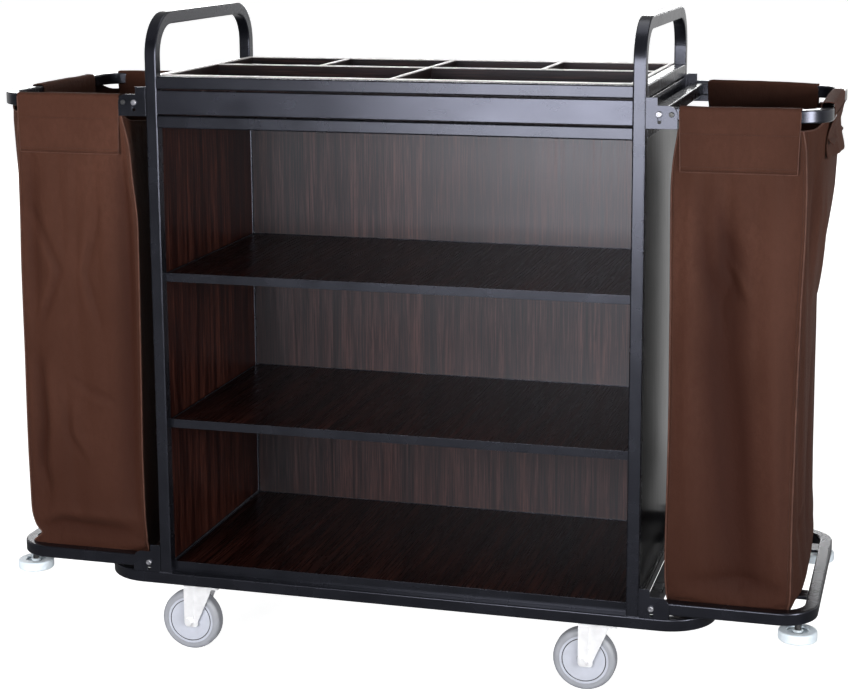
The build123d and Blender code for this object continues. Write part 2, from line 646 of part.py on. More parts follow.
# Swivel forks, axles and wheels, trailing towards the left end
leg_inner = WHEEL_WIDTH / 2 + WHEEL_SIDE_GAP
leg_outer = leg_inner + FORK_LEG
rib_outer = leg_outer + FORK_RIB
boss_half = leg_inner - RACE_GAP
for corner_name, (side, end) in CORNERS.items():
    pin_x = side * CASTER_SPACING_X / 2
    pin_y = end * CASTER_SPACING_Y / 2
    axle_x = pin_x - CASTER_TRAIL
    fork_back = axle_x - FORK_BEHIND_AXLE
    fork_front = pin_x + RACE_D / 2
    leg_bottom = AXLE_Z - FORK_BELOW_AXLE

    with BuildPart() as fork:
        with BuildSketch(Plane.XZ.offset(leg_outer - pin_y)):
            with BuildLine():
                Polyline(
                    (fork_back, bridge_top),
                    (fork_back, leg_bottom),
                    (axle_x + FORK_AHEAD_OF_AXLE, leg_bottom),
                    (axle_x + FORK_AHEAD_OF_AXLE, AXLE_Z),
                    (pin_x + FORK_AHEAD_OF_KINGPIN, bridge_top),
                    close=True,
                )
            make_face()
            fillet(vertices().sort_by(Axis.Y)[:2], radius=FORK_TOE_ROUND)
        extrude(amount=-2 * leg_outer)
        with BuildSketch(Plane.XZ.offset(rib_outer - pin_y)):
            with BuildLine():
                Polyline(
                    (fork_back, bridge_bottom),
                    (fork_back, leg_bottom + FORK_TOE_ROUND),
                    (fork_back + FORK_RIB_WIDTH, leg_bottom + FORK_TOE_ROUND),
                    (fork_back + FORK_RIB_WIDTH, bridge_bottom),
                    close=True,
                )
            make_face()
        extrude(amount=-2 * rib_outer)
        with Locations((fork_back, pin_y, bridge_bottom)):
            Box(
                fork_front + WHEEL_D - fork_back, 2 * leg_inner, CASTER_HEIGHT,
                align=(Align.MIN, Align.CENTER, Align.MAX), mode=Mode.SUBTRACT,
            )
        with Locations(((fork_back + fork_front) / 2, pin_y, bridge_bottom)):
            Box(
                fork_front - fork_back, 2 * leg_outer, FORK_SHEET,
                align=(Align.CENTER, Align.CENTER, Align.MIN),
            )
        with Locations((pin_x, pin_y, bridge_top)):
            Cylinder(RACE_D / 2, LOWER_RACE, align=(Align.CENTER, Align.CENTER, Align.MIN))
        with Locations((pin_x, pin_y, bridge_bottom)):
            Cylinder(
                KINGPIN_D / 2 + RUNNING_FIT, FORK_SHEET + LOWER_RACE,
                align=(Align.CENTER, Align.CENTER, Align.MIN), mode=Mode.SUBTRACT,
            )
        with BuildSketch(Plane.XZ.offset(rib_outer - pin_y)):
            with Locations((axle_x, AXLE_Z)):
                Circle(AXLE_D / 2 + SNUG_FIT)
        extrude(amount=-2 * rib_outer, mode=Mode.SUBTRACT)
    save(fork.part, f"{corner_name}_fork")

    with BuildPart() as axle:
        with BuildSketch(Plane.XZ.offset(rib_outer - pin_y)):
            with Locations((axle_x, AXLE_Z)):
                Circle(AXLE_D / 2)
        extrude(amount=-2 * rib_outer)
        with BuildSketch(Plane.XZ.offset(rib_outer - pin_y)):
            with Locations((axle_x, AXLE_Z)):
                RegularPolygon(AXLE_HEAD_D / 2, 6)
        extrude(amount=AXLE_HEAD)
        with BuildSketch(Plane.XZ.offset(-rib_outer - pin_y)):
            with Locations((axle_x, AXLE_Z)):
                RegularPolygon(AXLE_HEAD_D / 2, 6)
        extrude(amount=-AXLE_HEAD)
    save(axle.part, f"{corner_name}_axle")

    wheel_plane = Plane((axle_x, pin_y, AXLE_Z), x_dir=(1, 0, 0), z_dir=(0, 0, 1))
    wheel_axis = Axis((axle_x, pin_y, AXLE_Z), (0, 1, 0))
    hub_r = HUB_D / 2 - HUB_SEAT_GAP
    bore_r = AXLE_D / 2 + RUNNING_FIT
    with BuildPart() as hub:
        with BuildSketch(wheel_plane):
            with Locations((bore_r, 0)):
                Rectangle(hub_r - bore_r, HUB_WIDTH, align=(Align.MIN, Align.CENTER))
            with Locations(*[(HUB_DISC_D / 2, face * HUB_WIDTH / 2) for face in (-1, 1)]):
                Rectangle(
                    HUB_GROOVE, 2 * HUB_GROOVE_DEPTH, align=(Align.MIN, Align.CENTER),
                    mode=Mode.SUBTRACT,
                )
            with Locations((bore_r, 0)):
                Rectangle(HUB_BOSS_D / 2 - bore_r, 2 * boss_half, align=(Align.MIN, Align.CENTER))
        revolve(axis=wheel_axis)
    save(hub.part, f"{corner_name}_hub")

    with BuildPart() as tyre:
        with BuildSketch(wheel_plane):
            with Locations((HUB_D / 2, 0)):
                Rectangle((WHEEL_D - HUB_D) / 2, WHEEL_WIDTH, align=(Align.MIN, Align.CENTER))
            fillet(vertices().sort_by(Axis.X)[-2:], radius=TREAD_ROUND)
        revolve(axis=wheel_axis)
    save(tyre.part, f"{corner_name}_tyre")


def bag_outline(side, inset, outer, half_depth, corner_x, corner_y):
    """Give the corners of a bag's plan outline, with its two outer corners cut off."""
    near = BAR_FACE_X + BAG_BAR_GAP + inset
    far = outer - inset
    depth = half_depth - inset
    front_half = [(near, -depth), (far - corner_x, -depth), (far, corner_y - depth)]
    rear_half = [(x, -y) for x, y in reversed(front_half)]
    return [(side * x, y) for x, y in front_half + rear_half]


def bag(side):
    """Make one laundry bag: an open shell with a sleeve over three bars of the upper wing."""
    leaf = BAG_GAP + BAG_WALL
    top_outer = WING_REACH + leaf
    top_depth = WING_HALF_DEPTH + leaf
    bag_floor = LOWER_WING_TOP + BAG_GAP
    bottom_depth = WING_HALF_DEPTH - BAG_BOTTOM_INSET_Y
    middle_depth = WING_HALF_DEPTH - BAG_MIDDLE_INSET_Y
    bottom = (WING_REACH - BAG_BOTTOM_INSET_X, bottom_depth, BAG_CORNER, BAG_CORNER)
    middle = (WING_REACH - BAG_MIDDLE_INSET_X, middle_depth, BAG_CORNER, BAG_CORNER)
    top = (top_outer, top_depth, BAG_TOP_CORNER_X, BAG_TOP_CORNER_Y)
    bar_bottom = UPPER_WING_Z - TUBE / 2
    bar_top = UPPER_WING_Z + TUBE / 2
    bar_y = WING_HALF_DEPTH - TUBE / 2
    bar_x = side * (WING_REACH - TUBE / 2)
    loop = TUBE + 2 * leaf
    eye = TUBE + 2 * BAG_GAP
    sleeve_start = HALF_LENGTH + BRACKET_WIDTH + SLEEVE_BRACKET_GAP
    sleeve_end = WING_REACH - TUBE / 2 - WING_BEND - SLEEVE_CORNER_GAP
    end_half = bar_y - WING_BEND - SLEEVE_CORNER_GAP
    with BuildPart() as shell:
        for height, station in ((bag_floor, bottom), (BAG_MIDDLE_Z, middle), (BAG_TOP_Z, top)):
            with BuildSketch(Plane.XY.offset(height)):
                Polygon(*bag_outline(side, 0, *station), align=None)
        loft(ruled=True)
        for height, station in ((bag_floor + BAG_WALL, bottom), (BAG_MIDDLE_Z, middle), (BAG_TOP_Z, top)):
            with BuildSketch(Plane.XY.offset(height)):
                Polygon(*bag_outline(side, BAG_WALL, *station), align=None)
        loft(ruled=True, mode=Mode.SUBTRACT)
        for end in (-1, 1):
            with BuildSketch(Plane.YZ.offset(side * sleeve_start)):
                with Locations((end * bar_y, UPPER_WING_Z)):
                    Rectangle(loop, loop)
                with Locations((end * (top_depth - BAG_WALL / 2), BAG_TOP_Z)):
                    Rectangle(BAG_WALL, bar_top - BAG_TOP_Z, align=(Align.CENTER, Align.MIN))
                with Locations((end * bar_y, UPPER_WING_Z)):
                    Rectangle(eye, eye, mode=Mode.SUBTRACT)
            extrude(amount=side * (sleeve_end - sleeve_start))
        with BuildSketch(Plane.XZ.offset(-end_half)):
            with Locations((bar_x, UPPER_WING_Z)):
                Rectangle(loop, loop)
            with Locations((side * (top_outer - BAG_WALL / 2), BAG_TOP_Z)):
                Rectangle(BAG_WALL, bar_bottom - BAG_TOP_Z, align=(Align.CENTER, Align.MIN))
            with Locations((bar_x, UPPER_WING_Z)):
                Rectangle(eye, eye, mode=Mode.SUBTRACT)
        extrude(amount=2 * end_half)
    return shell.part


# Laundry bags hung on the wings
for side_name, side in SIDES.items():
    save(bag(side), f"{side_name}_bag")
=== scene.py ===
"""Looks of the housekeeping trolley: finishes on its solids, and two cloth bags sewn and hung in place."""

import logging
import math
from dataclasses import dataclass, field
from enum import Enum
from typing import ClassVar, Iterable, Optional, Sequence

import bpy
import numpy as np
from mathutils import Matrix, Vector


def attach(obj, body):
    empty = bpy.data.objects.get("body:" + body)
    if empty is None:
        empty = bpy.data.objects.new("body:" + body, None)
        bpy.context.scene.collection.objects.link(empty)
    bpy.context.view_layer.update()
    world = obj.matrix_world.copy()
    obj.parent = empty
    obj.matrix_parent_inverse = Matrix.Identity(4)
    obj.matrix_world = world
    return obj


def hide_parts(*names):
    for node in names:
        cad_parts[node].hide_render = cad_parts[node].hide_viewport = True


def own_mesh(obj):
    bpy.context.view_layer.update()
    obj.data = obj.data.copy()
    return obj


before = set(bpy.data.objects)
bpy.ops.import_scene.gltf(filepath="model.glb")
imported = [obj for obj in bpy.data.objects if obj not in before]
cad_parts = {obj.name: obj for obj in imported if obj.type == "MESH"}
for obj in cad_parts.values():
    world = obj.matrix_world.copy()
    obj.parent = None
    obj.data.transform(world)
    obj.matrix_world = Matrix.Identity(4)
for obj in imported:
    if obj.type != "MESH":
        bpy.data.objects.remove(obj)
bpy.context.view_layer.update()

LOG = logging.getLogger("trolley")
MM = 0.001
Colour = tuple[float, float, float]
Point = tuple[float, float, float]
Span = tuple[float, float]
Socket = bpy.types.NodeSocket


class Side(Enum):
    """The end of the trolley that a piece belongs to, with the sign of its X."""

    LEFT = -1
    RIGHT = 1

    @property
    def word(self) -> str:
        """The side's name as it stands in node names."""
        return self.name.lower()


class GrainAxis(Enum):
    """The direction in which a laminate's wood grain runs."""

    X = 0
    Y = 1
    Z = 2


class RunKind(Enum):
    """What is laid along a path."""

    STITCH = "stitch"
    WELD = "weld"
    WELT = "welt"


class Panel(Enum):
    """The four sewn walls of a bag, in the order in which they go round it."""

    FRONT = 0
    OUTER = 1
    REAR = 2
    INNER = 3


class Bar(Enum):
    """The three bars of the upper wing frame that carry a sleeve."""

    FRONT = "front"
    OUTER = "outer"
    REAR = "rear"


class LampUse(Enum):
    """What a soft light is seen by: every surface, only glossy reflections, or only matt faces."""

    FULL = "full"
    SHEEN = "sheen"
    FILL = "fill"


class Half(Enum):
    """The two lengths of a bag, above and below the level where it is parted."""

    UPPER = "upper"
    LOWER = "lower"


# Finishes


class NodeKit:
    """A shader node tree, with short calls for its nodes."""

    EDGE_DOT: ClassVar[Span] = (0.86, 0.995)

    def __init__(self, tree: bpy.types.NodeTree) -> None:
        """Takes a tree to add to.

        Args:
            tree: the node tree.
        """
        self.tree = tree

    def node(self, kind: str, **settings: object) -> bpy.types.Node:
        """Adds a node.

        Args:
            kind: the node's type name.
            settings: properties to set on it.

        Returns:
            The new node.
        """
        made = self.tree.nodes.new(kind)
        for key, value in settings.items():
            setattr(made, key, value)
        return made

    def feed(self, target: Socket, value: object) -> None:
        """Links a socket to an input, or sets the input's own value.

        Args:
            target: the input.
            value: a socket to link from, or a number, colour or vector.
        """
        if isinstance(value, Socket):
            self.tree.links.new(value, target)
        else:
            target.default_value = value

    def place(self, stretch: Point, uv: bool = False) -> Socket:
        """Coordinates on the piece, scaled along each axis.

        Args:
            stretch: cycles per metre along X, Y and Z.
            uv: whether the piece's own cloth map is read in place of Object coordinates.

        Returns:
            The vector socket.
        """
        coords = self.node("ShaderNodeTexCoord")
        mapping = self.node("ShaderNodeMapping")
        self.feed(mapping.inputs["Vector"], coords.outputs["UV" if uv else "Object"])
        mapping.inputs["Scale"].default_value = stretch
        return mapping.outputs["Vector"]

    def axis(self, name: str) -> Socket:
        """The distance along one axis on the piece, in metres.

        Args:
            name: X, Y or Z.

        Returns:
            The value socket.
        """
        split = self.node("ShaderNodeSeparateXYZ")
        self.feed(split.inputs[0], self.place((1.0, 1.0, 1.0)))
        return split.outputs[name]

    def noise(self, vector: Socket, detail: float = 2.0, rough: float = 0.5, warp: float = 0.0) -> Socket:
        """A noise of one cycle per unit of its vector.

        Args:
            vector: where it is read.
            detail: how many finer layers it has.
            rough: how strong those layers are.
            warp: how far it is distorted.

        Returns:
            The factor socket.
        """
        made = self.node("ShaderNodeTexNoise")
        self.feed(made.inputs["Vector"], vector)
        for key, value in (("Scale", 1.0), ("Detail", detail), ("Roughness", rough), ("Distortion", warp)):
            made.inputs[key].default_value = value
        return made.outputs["Fac"]

    def speckle(self, cycles: float, detail: float = 2.0, rough: float = 0.5) -> Socket:
        """A noise of the same scale along every axis.

        Args:
            cycles: cycles per metre.
            detail: how many finer layers it has.
            rough: how strong those layers are.

        Returns:
            The factor socket.
        """
        return self.noise(self.place((cycles,) * 3), detail, rough)

    def ramp(self, factor: Socket, stops: Sequence[tuple[float, Colour]]) -> Socket:
        """Colours along a factor.

        Args:
            factor: the value that picks the colour.
            stops: pairs of place and colour, in order.

        Returns:
            The colour socket.
        """
        made = self.node("ShaderNodeValToRGB")
        self.feed(made.inputs["Fac"], factor)
        bar = made.color_ramp.elements
        while len(bar) < len(stops):
            bar.new(0.5)
        for stop, (where, colour) in zip(bar, stops):
            stop.position = where
            stop.color = (*colour, 1.0)
        return made.outputs["Color"]

    def span(self, factor: Socket, low: float, high: float, start: float = 0.3, end: float = 0.7) -> Socket:
        """A factor mapped to a range of numbers.

        Args:
            factor: the value to map.
            low: the number at the factor's start.
            high: the number at its end.
            start: the factor that gives low.
            end: the factor that gives high.

        Returns:
            The value socket.
        """
        made = self.node("ShaderNodeMapRange")
        for place, value in enumerate((factor, start, end, low, high)):
            self.feed(made.inputs[place], value)
        return made.outputs[0]

    def blend(self, factor: object, first: object, second: object, how: str = "MIX") -> Socket:
        """Two colours mixed.

        Args:
            factor: how much of the second shows.
            first: the colour below.
            second: the colour laid over it.
            how: the blend mode.

        Returns:
            The colour socket.
        """
        made = self.node("ShaderNodeMix", data_type="RGBA", blend_type=how)
        for place, value in ((0, factor), (6, first), (7, second)):
            if isinstance(value, tuple):
                value = (*value, 1.0)
            self.feed(made.inputs[place], value)
        return made.outputs[2]

    def sum(self, first: object, second: object, how: str = "ADD") -> Socket:
        """Two numbers joined by a sum.

        Args:
            first: the first number.
            second: the second number.
            how: the operation.

        Returns:
            The value socket.
        """
        made = self.node("ShaderNodeMath", operation=how)
        self.feed(made.inputs[0], first)
        self.feed(made.inputs[1], second)
        return made.outputs[0]

    def bump(
        self, height: Socket, depth: float, strength: float = 1.0, under: Optional[Socket] = None
    ) -> Socket:
        """A relief on the surface.

        Args:
            height: the relief's factor.
            depth: its depth in metres.
            strength: how much of it is used.
            under: a normal that it is laid over.

        Returns:
            The normal socket.
        """
        made = self.node("ShaderNodeBump")
        made.inputs["Strength"].default_value = strength
        made.inputs["Distance"].default_value = depth
        self.feed(made.inputs["Height"], height)
        if under is not None:
            self.feed(made.inputs["Normal"], under)
        return made.outputs["Normal"]

    def soft_edge(self, radius: float) -> Socket:
        """The normal that a small rounding of the edges would give.

        Args:
            radius: the rounding in metres.

        Returns:
            The normal socket.
        """
        made = self.node("ShaderNodeBevel", samples=4)
        made.inputs["Radius"].default_value = radius
        return made.outputs["Normal"]

    def openness(self, reach: float) -> Socket:
        """A factor that is 1 on open faces and falls in narrow grooves.

        Args:
            reach: how far a groove's other wall may be, in metres.

        Returns:
            The factor socket.
        """
        made = self.node("ShaderNodeAmbientOcclusion", samples=8, only_local=True)
        made.inputs["Distance"].default_value = reach
        return made.outputs["AO"]

    def edge_mask(self, rounded: Socket) -> Socket:
        """A factor that is 1 on edges, where the rounded normal leaves the face's own, and 0 on faces.

        Args:
            rounded: the normal from soft_edge.

        Returns:
            The factor socket.
        """
        face = self.node("ShaderNodeNewGeometry")
        dot = self.node("ShaderNodeVectorMath", operation="DOT_PRODUCT")
        self.feed(dot.inputs[0], rounded)
        self.feed(dot.inputs[1], face.outputs["Normal"])
        return self.span(dot.outputs["Value"], 1.0, 0.0, *self.EDGE_DOT)


class Recipe(NodeKit):
    """A material's node tree, which starts with one Principled shader."""

    def __init__(self, name: str) -> None:
        """Starts the material.

        Args:
            name: the finish's name.
        """
        self.material = bpy.data.materials.new(name)
        self.material.use_nodes = True
        super().__init__(self.material.node_tree)
        self.shader = self.tree.nodes["Principled BSDF"]

    def dress(self, **inputs: object) -> bpy.types.Material:
        """Feeds the shader.

        Args:
            inputs: shader inputs by name, with _ for a space; a socket is linked, anything else is set.

        Returns:
            The finished material.
        """
        for key, value in inputs.items():
            self.feed(self.shader.inputs[key.replace("_", " ")], value)
        return self.material


class Finish:
    """A finish that is mixed once and shared by every piece that wears it."""

    name: str
    _mixed: ClassVar[dict[str, bpy.types.Material]] = {}

    def mix(self) -> bpy.types.Material:
        """Builds the material; each finish has its own."""
        raise NotImplementedError

    @property
    def material(self) -> bpy.types.Material:
        """The finish's material, built at first use."""
        if self.name not in self._mixed:
            self._mixed[self.name] = self.mix()
        return self._mixed[self.name]


@dataclass(frozen=True)
class PowderCoat(Finish):
    """Satin powder coat on steel tube: fine orange peel, patchy gloss, and edges lightened partly as paint
    rubbed thin and partly as a painted highlight.
    """

    name: str = "blue_black_powder_coat"
    deep: Colour = (0.0036, 0.0038, 0.0052)
    pale: Colour = (0.0060, 0.0063, 0.0086)
    # edge colour: paint rubbed thin, and a painted highlight along the edges
    wear_and_painted_light: Colour = (0.050, 0.052, 0.060)
    gloss: Span = (0.24, 0.29)
    specular: float = 0.44
    peel: float = 0.00005
    edge: float = 0.0011
    patch_cycles: float = 14.0
    rub_cycles: float = 60.0
    most_rubbed: float = 0.55
    peel_cycles: float = 620.0

    def mix(self) -> bpy.types.Material:
        """Builds the material."""
        make = Recipe(self.name)
        patches = make.speckle(self.patch_cycles, detail=4.0)
        rounded = make.soft_edge(self.edge)
        thin = make.span(make.speckle(self.rub_cycles, detail=3.0), 0.0, self.most_rubbed)
        # lightens the edges: partly rubbed paint, partly a painted edge highlight
        rub = make.sum(make.edge_mask(rounded), thin, "MULTIPLY")
        peel = make.speckle(self.peel_cycles)
        colour = make.blend(rub, make.ramp(patches, ((0.3, self.deep), (0.7, self.pale))), self.wear_and_painted_light)
        return make.dress(
            Base_Color=colour,
            Roughness=make.span(patches, *self.gloss),
            Normal=make.bump(peel, self.peel, strength=0.8, under=rounded),
            Specular_IOR_Level=self.specular,
            Specular_Tint=(0.78, 0.81, 1.0, 1.0),
        )


@dataclass(frozen=True)
class WoodLaminate(Finish):
    """Dark wood-grain laminate: long streaks, short open pores, broad bands, satin top layer.

    Where plain_beyond is set, the faces further than that from X = 0 are plain dark laminate with a coat.
    """

    name: str
    grain: GrainAxis
    dark: Colour = (0.0060, 0.0010, 0.0006)
    middle: Colour = (0.0210, 0.0052, 0.0034)
    light: Colour = (0.0660, 0.0215, 0.0150)
    gloss: Span = (0.30, 0.40)
    specular: float = 0.34
    plain_beyond: float = 0.0
    plain: Colour = (0.0080, 0.0082, 0.0100)
    plain_gloss: float = 0.18
    plain_coat: float = 0.52
    plain_margin: float = 0.001
    streak_cycles: Span = (330.0, 7.0)
    band_cycles: Span = (38.0, 1.6)
    pore_cycles: Span = (950.0, 26.0)
    band_tone: float = 0.10
    edge: float = 0.0007
    relief: float = 0.00006

    def along(self, across: float, length: float) -> Point:
        """Stretch of a streak.

        Args:
            across: cycles per metre across the grain.
            length: cycles per metre along it.

        Returns:
            Cycles per metre along X, Y and Z.
        """
        scale = [across] * 3
        scale[self.grain.value] = length
        return tuple(scale)

    def mix(self) -> bpy.types.Material:
        """Builds the material."""
        make = Recipe(self.name)
        streaks = make.noise(make.place(self.along(*self.streak_cycles)), detail=5.0, rough=0.62, warp=0.5)
        bands = make.noise(make.place(self.along(*self.band_cycles)), detail=3.0, rough=0.5, warp=0.8)
        pores = make.noise(make.place(self.along(*self.pore_cycles)), detail=2.0, rough=0.5)
        tone = make.sum(streaks, make.span(bands, -self.band_tone, self.band_tone))
        wood = make.ramp(tone, ((0.33, self.dark), (0.50, self.middle), (0.68, self.light)))
        open_pore = make.span(pores, low=0.75, high=0.0, start=0.33, end=0.43)
        colour = make.blend(open_pore, wood, self.dark)
        rounded = make.soft_edge(self.edge)
        height = make.sum(streaks, make.sum(pores, 0.8, "MULTIPLY"))
        coat = {}
        if self.plain_beyond:
            apart = make.sum(make.axis("X"), 0.0, "ABSOLUTE")
            near, far = self.plain_beyond - self.plain_margin, self.plain_beyond + self.plain_margin
            outside = make.span(apart, 0.0, 1.0, near, far)
            colour = make.blend(outside, colour, self.plain)
            varnish = make.sum(outside, self.plain_coat, "MULTIPLY")
            coat = {"Coat_Weight": varnish, "Coat_Roughness": self.plain_gloss}
        return make.dress(
            Base_Color=colour,
            Roughness=make.span(streaks, *self.gloss),
            Normal=make.bump(height, self.relief, strength=0.6, under=rounded),
            Specular_IOR_Level=self.specular,
            Specular_Tint=(0.86, 0.90, 1.0, 1.0),
            **coat,
        )


@dataclass(frozen=True)
class FasciaLaminate(Finish):
    """Plain dark laminate of the tray's front and sides, with a fine pebbled face."""

    name: str = "dark_fascia_laminate"
    deep: Colour = (0.0048, 0.0050, 0.0068)
    pale: Colour = (0.0078, 0.0081, 0.0108)
    gloss: Span = (0.22, 0.28)
    cloud_cycles: Point = (9.0, 9.0, 22.0)
    pebble_cycles: float = 900.0
    pebble: float = 0.00004
    edge: float = 0.0010

    def mix(self) -> bpy.types.Material:
        """Builds the material."""
        make = Recipe(self.name)
        cloud = make.noise(make.place(self.cloud_cycles), detail=4.0)
        pebbles = make.speckle(self.pebble_cycles, detail=1.0)
        rounded = make.soft_edge(self.edge)
        return make.dress(
            Base_Color=make.ramp(cloud, ((0.3, self.deep), (0.7, self.pale))),
            Roughness=make.span(cloud, *self.gloss),
            Normal=make.bump(pebbles, self.pebble, strength=0.7, under=rounded),
            Specular_Tint=(0.76, 0.79, 1.0, 1.0),
        )


@dataclass(frozen=True)
class BrightEdging(Finish):
    """Bright edging on the tray's walls: drawn along its length, with small scuffs."""

    name: str = "bright_edging"
    base: Colour = (0.92, 0.89, 0.87)
    dull: Colour = (0.74, 0.70, 0.68)
    gloss: Span = (0.46, 0.30)
    scuff_cycles: float = 70.0
    line_cycles: Point = (40.0, 1200.0, 1200.0)
    line_depth: float = 0.00003

    def mix(self) -> bpy.types.Material:
        """Builds the material."""
        make = Recipe(self.name)
        scuffs = make.speckle(self.scuff_cycles, detail=5.0, rough=0.6)
        lines = make.noise(make.place(self.line_cycles))
        return make.dress(
            Base_Color=make.ramp(scuffs, ((0.35, self.dull), (0.6, self.base))),
            Roughness=make.span(scuffs, *self.gloss),
            Normal=make.bump(lines, self.line_depth, strength=0.6),
        )


@dataclass(frozen=True)
class PlatedSteel(Finish):
    """Bright zinc plate with faint spangle and dull patches."""

    name: str = "bright_zinc_plate"
    base: Colour = (0.93, 0.93, 0.95)
    dull: Colour = (0.86, 0.86, 0.88)
    metal: float = 0.35
    gloss: Span = (0.34, 0.44)
    patch_cycles: float = 95.0
    brush_cycles: Point = (900.0, 900.0, 160.0)
    brush_depth: float = 0.00003
    edge: float = 0.0005

    def mix(self) -> bpy.types.Material:
        """Builds the material."""
        make = Recipe(self.name)
        patches = make.speckle(self.patch_cycles, detail=4.0)
        brush = make.noise(make.place(self.brush_cycles))
        rounded = make.soft_edge(self.edge)
        return make.dress(
            Base_Color=make.ramp(patches, ((0.3, self.dull), (0.65, self.base))),
            Metallic=self.metal,
            Roughness=make.span(patches, *self.gloss),
            Normal=make.bump(brush, self.brush_depth, strength=0.7, under=rounded),
        )


@dataclass(frozen=True)
class BlackSteel(Finish):
    """Black oxide on small steel parts, rubbed bright on the edges."""

    name: str = "black_oxide_steel"
    base: Colour = (0.014, 0.014, 0.015)
    rubbed: Colour = (0.11, 0.11, 0.115)
    most_rubbed: float = 0.7
    gloss: Span = (0.35, 0.55)
    mottle_cycles: float = 420.0
    mottle_depth: float = 0.00004
    edge: float = 0.0006

    def mix(self) -> bpy.types.Material:
        """Builds the material."""
        make = Recipe(self.name)
        rounded = make.soft_edge(self.edge)
        mottle = make.speckle(self.mottle_cycles, detail=3.0)
        rub = make.sum(make.edge_mask(rounded), self.most_rubbed, "MULTIPLY")
        return make.dress(
            Base_Color=make.blend(rub, self.base, self.rubbed),
            Roughness=make.span(mottle, *self.gloss),
            Normal=make.bump(mottle, self.mottle_depth, strength=0.7, under=rounded),
        )


@dataclass(frozen=True)
class MouldedPlastic(Finish):
    """Moulded plastic or rubber: a fine matt face, faint mottling, and painted shade darkening its narrow
    grooves.
    """

    name: str
    base: Colour
    dusty: Colour
    gloss: Span
    pebble: float = 0.00006
    groove: float = 0.0035
    # painted shade colour for narrow grooves
    grime: Colour = (0.012, 0.012, 0.016)
    groove_shade_openness: Span = (0.45, 0.80)
    dust_cycles: float = 48.0
    pebble_cycles: float = 1100.0
    edge: float = 0.0008

    def mix(self) -> bpy.types.Material:
        """Builds the material."""
        make = Recipe(self.name)
        dust = make.speckle(self.dust_cycles, detail=5.0, rough=0.6)
        face = make.speckle(self.pebble_cycles, detail=1.0)
        rounded = make.soft_edge(self.edge)
        colour = make.ramp(dust, ((0.32, self.base), (0.72, self.dusty)))
        # painted shade: grooves are darkened where ambient occlusion finds them closed in
        groove_shade_share = make.span(make.openness(self.groove), 1.0, 0.0, *self.groove_shade_openness)
        return make.dress(
            Base_Color=make.blend(groove_shade_share, colour, self.grime),
            Roughness=make.span(dust, *self.gloss),
            Normal=make.bump(face, self.pebble, strength=0.7, under=rounded),
        )


@dataclass(frozen=True)
class BagCloth(Finish):
    """Coated canvas: a plain weave on the cloth's own map, small crumples, painted light on fold ridges and
    painted shade in fold and crumple hollows and towards the foot.

    Blender's wave texture turns through WAVE_TURN radians for each unit of its vector.
    """

    WAVE_TURN: ClassVar[float] = 20.0
    name: str = "chocolate_canvas"
    deep: Colour = (0.050, 0.0190, 0.0118)
    # faded tone of the cloth, also used as the painted highlight on fold ridges
    faded_and_ridge_highlight: Colour = (0.084, 0.0345, 0.0228)
    # painted shade colour, for fold hollows and the foot
    painted_shade: Colour = (0.030, 0.0095, 0.0058)
    thread_pitch: float = 0.0011
    weave_depth: float = 0.00022
    crumple_depth: float = 0.0028
    wide_cycles: Point = (5.0, 5.0, 4.0)
    slub_cycles: Point = (240.0, 900.0, 1.0)
    crumple_cycles: Point = (95.0, 95.0, 55.0)
    # painted shade at the foot: the heights over which it fades out, and its strength
    foot_shade_heights: Span = (0.25, 0.95)
    foot_shade: float = 0.58
    gloss: Span = (0.62, 0.80)

    def mix(self) -> bpy.types.Material:
        """Builds the material."""
        make = Recipe(self.name)
        wide = make.noise(make.place(self.wide_cycles), detail=3.0, rough=0.55)
        slub = make.noise(make.place(self.slub_cycles, uv=True))
        cycle = 2 * math.pi / self.WAVE_TURN / self.thread_pitch
        threads = []
        for direction in ("X", "Y"):
            wave = make.node("ShaderNodeTexWave", bands_direction=direction)
            make.feed(wave.inputs["Vector"], make.place((cycle, cycle, cycle), uv=True))
            wave.inputs["Scale"].default_value = 1.0
            wave.inputs["Distortion"].default_value = 0.4
            threads.append(wave.outputs["Fac"])
        weave = make.sum(*threads, "MAXIMUM")
        crumple = make.noise(make.place(self.crumple_cycles), detail=4.0, rough=0.6)
        crease = make.node("ShaderNodeAttribute", attribute_name="crease").outputs["Fac"]
        tone = make.ramp(wide, ((0.30, self.deep), (0.70, self.faded_and_ridge_highlight)))
        tone = make.blend(make.span(slub, low=0.0, high=0.32), tone, self.deep)
        tone = make.blend(make.span(weave, low=0.35, high=0.0, start=0.4, end=0.8), tone, self.deep)
        # painted shade in the hollows of the crumple relief
        tone = make.blend(make.span(crumple, low=0.46, high=0.0, start=0.36, end=0.62), tone, self.deep)
        # painted light on fold ridges, read from the crease attribute
        tone = make.blend(make.span(crease, low=0.0, high=0.8, start=0.05, end=1.0), tone, self.faded_and_ridge_highlight)
        # painted shade: the cloth is darkened towards the foot
        foot = make.span(make.axis("Z"), self.foot_shade, 0.0, *self.foot_shade_heights)
        tone = make.blend(foot, tone, self.painted_shade)
        # painted shade in fold hollows, read from the crease attribute
        tone = make.blend(make.span(crease, low=0.95, high=0.0, start=-1.0, end=-0.05), tone, self.painted_shade)
        crumpled = make.bump(crumple, self.crumple_depth, strength=0.6)
        return make.dress(
            Base_Color=tone,
            Roughness=make.span(slub, *self.gloss),
            Normal=make.bump(weave, self.weave_depth, strength=0.7, under=crumpled),
            Sheen_Weight=0.03,
            Sheen_Roughness=0.45,
            Sheen_Tint=(0.62, 0.42, 0.36, 1.0),
            Specular_IOR_Level=0.05,
        )


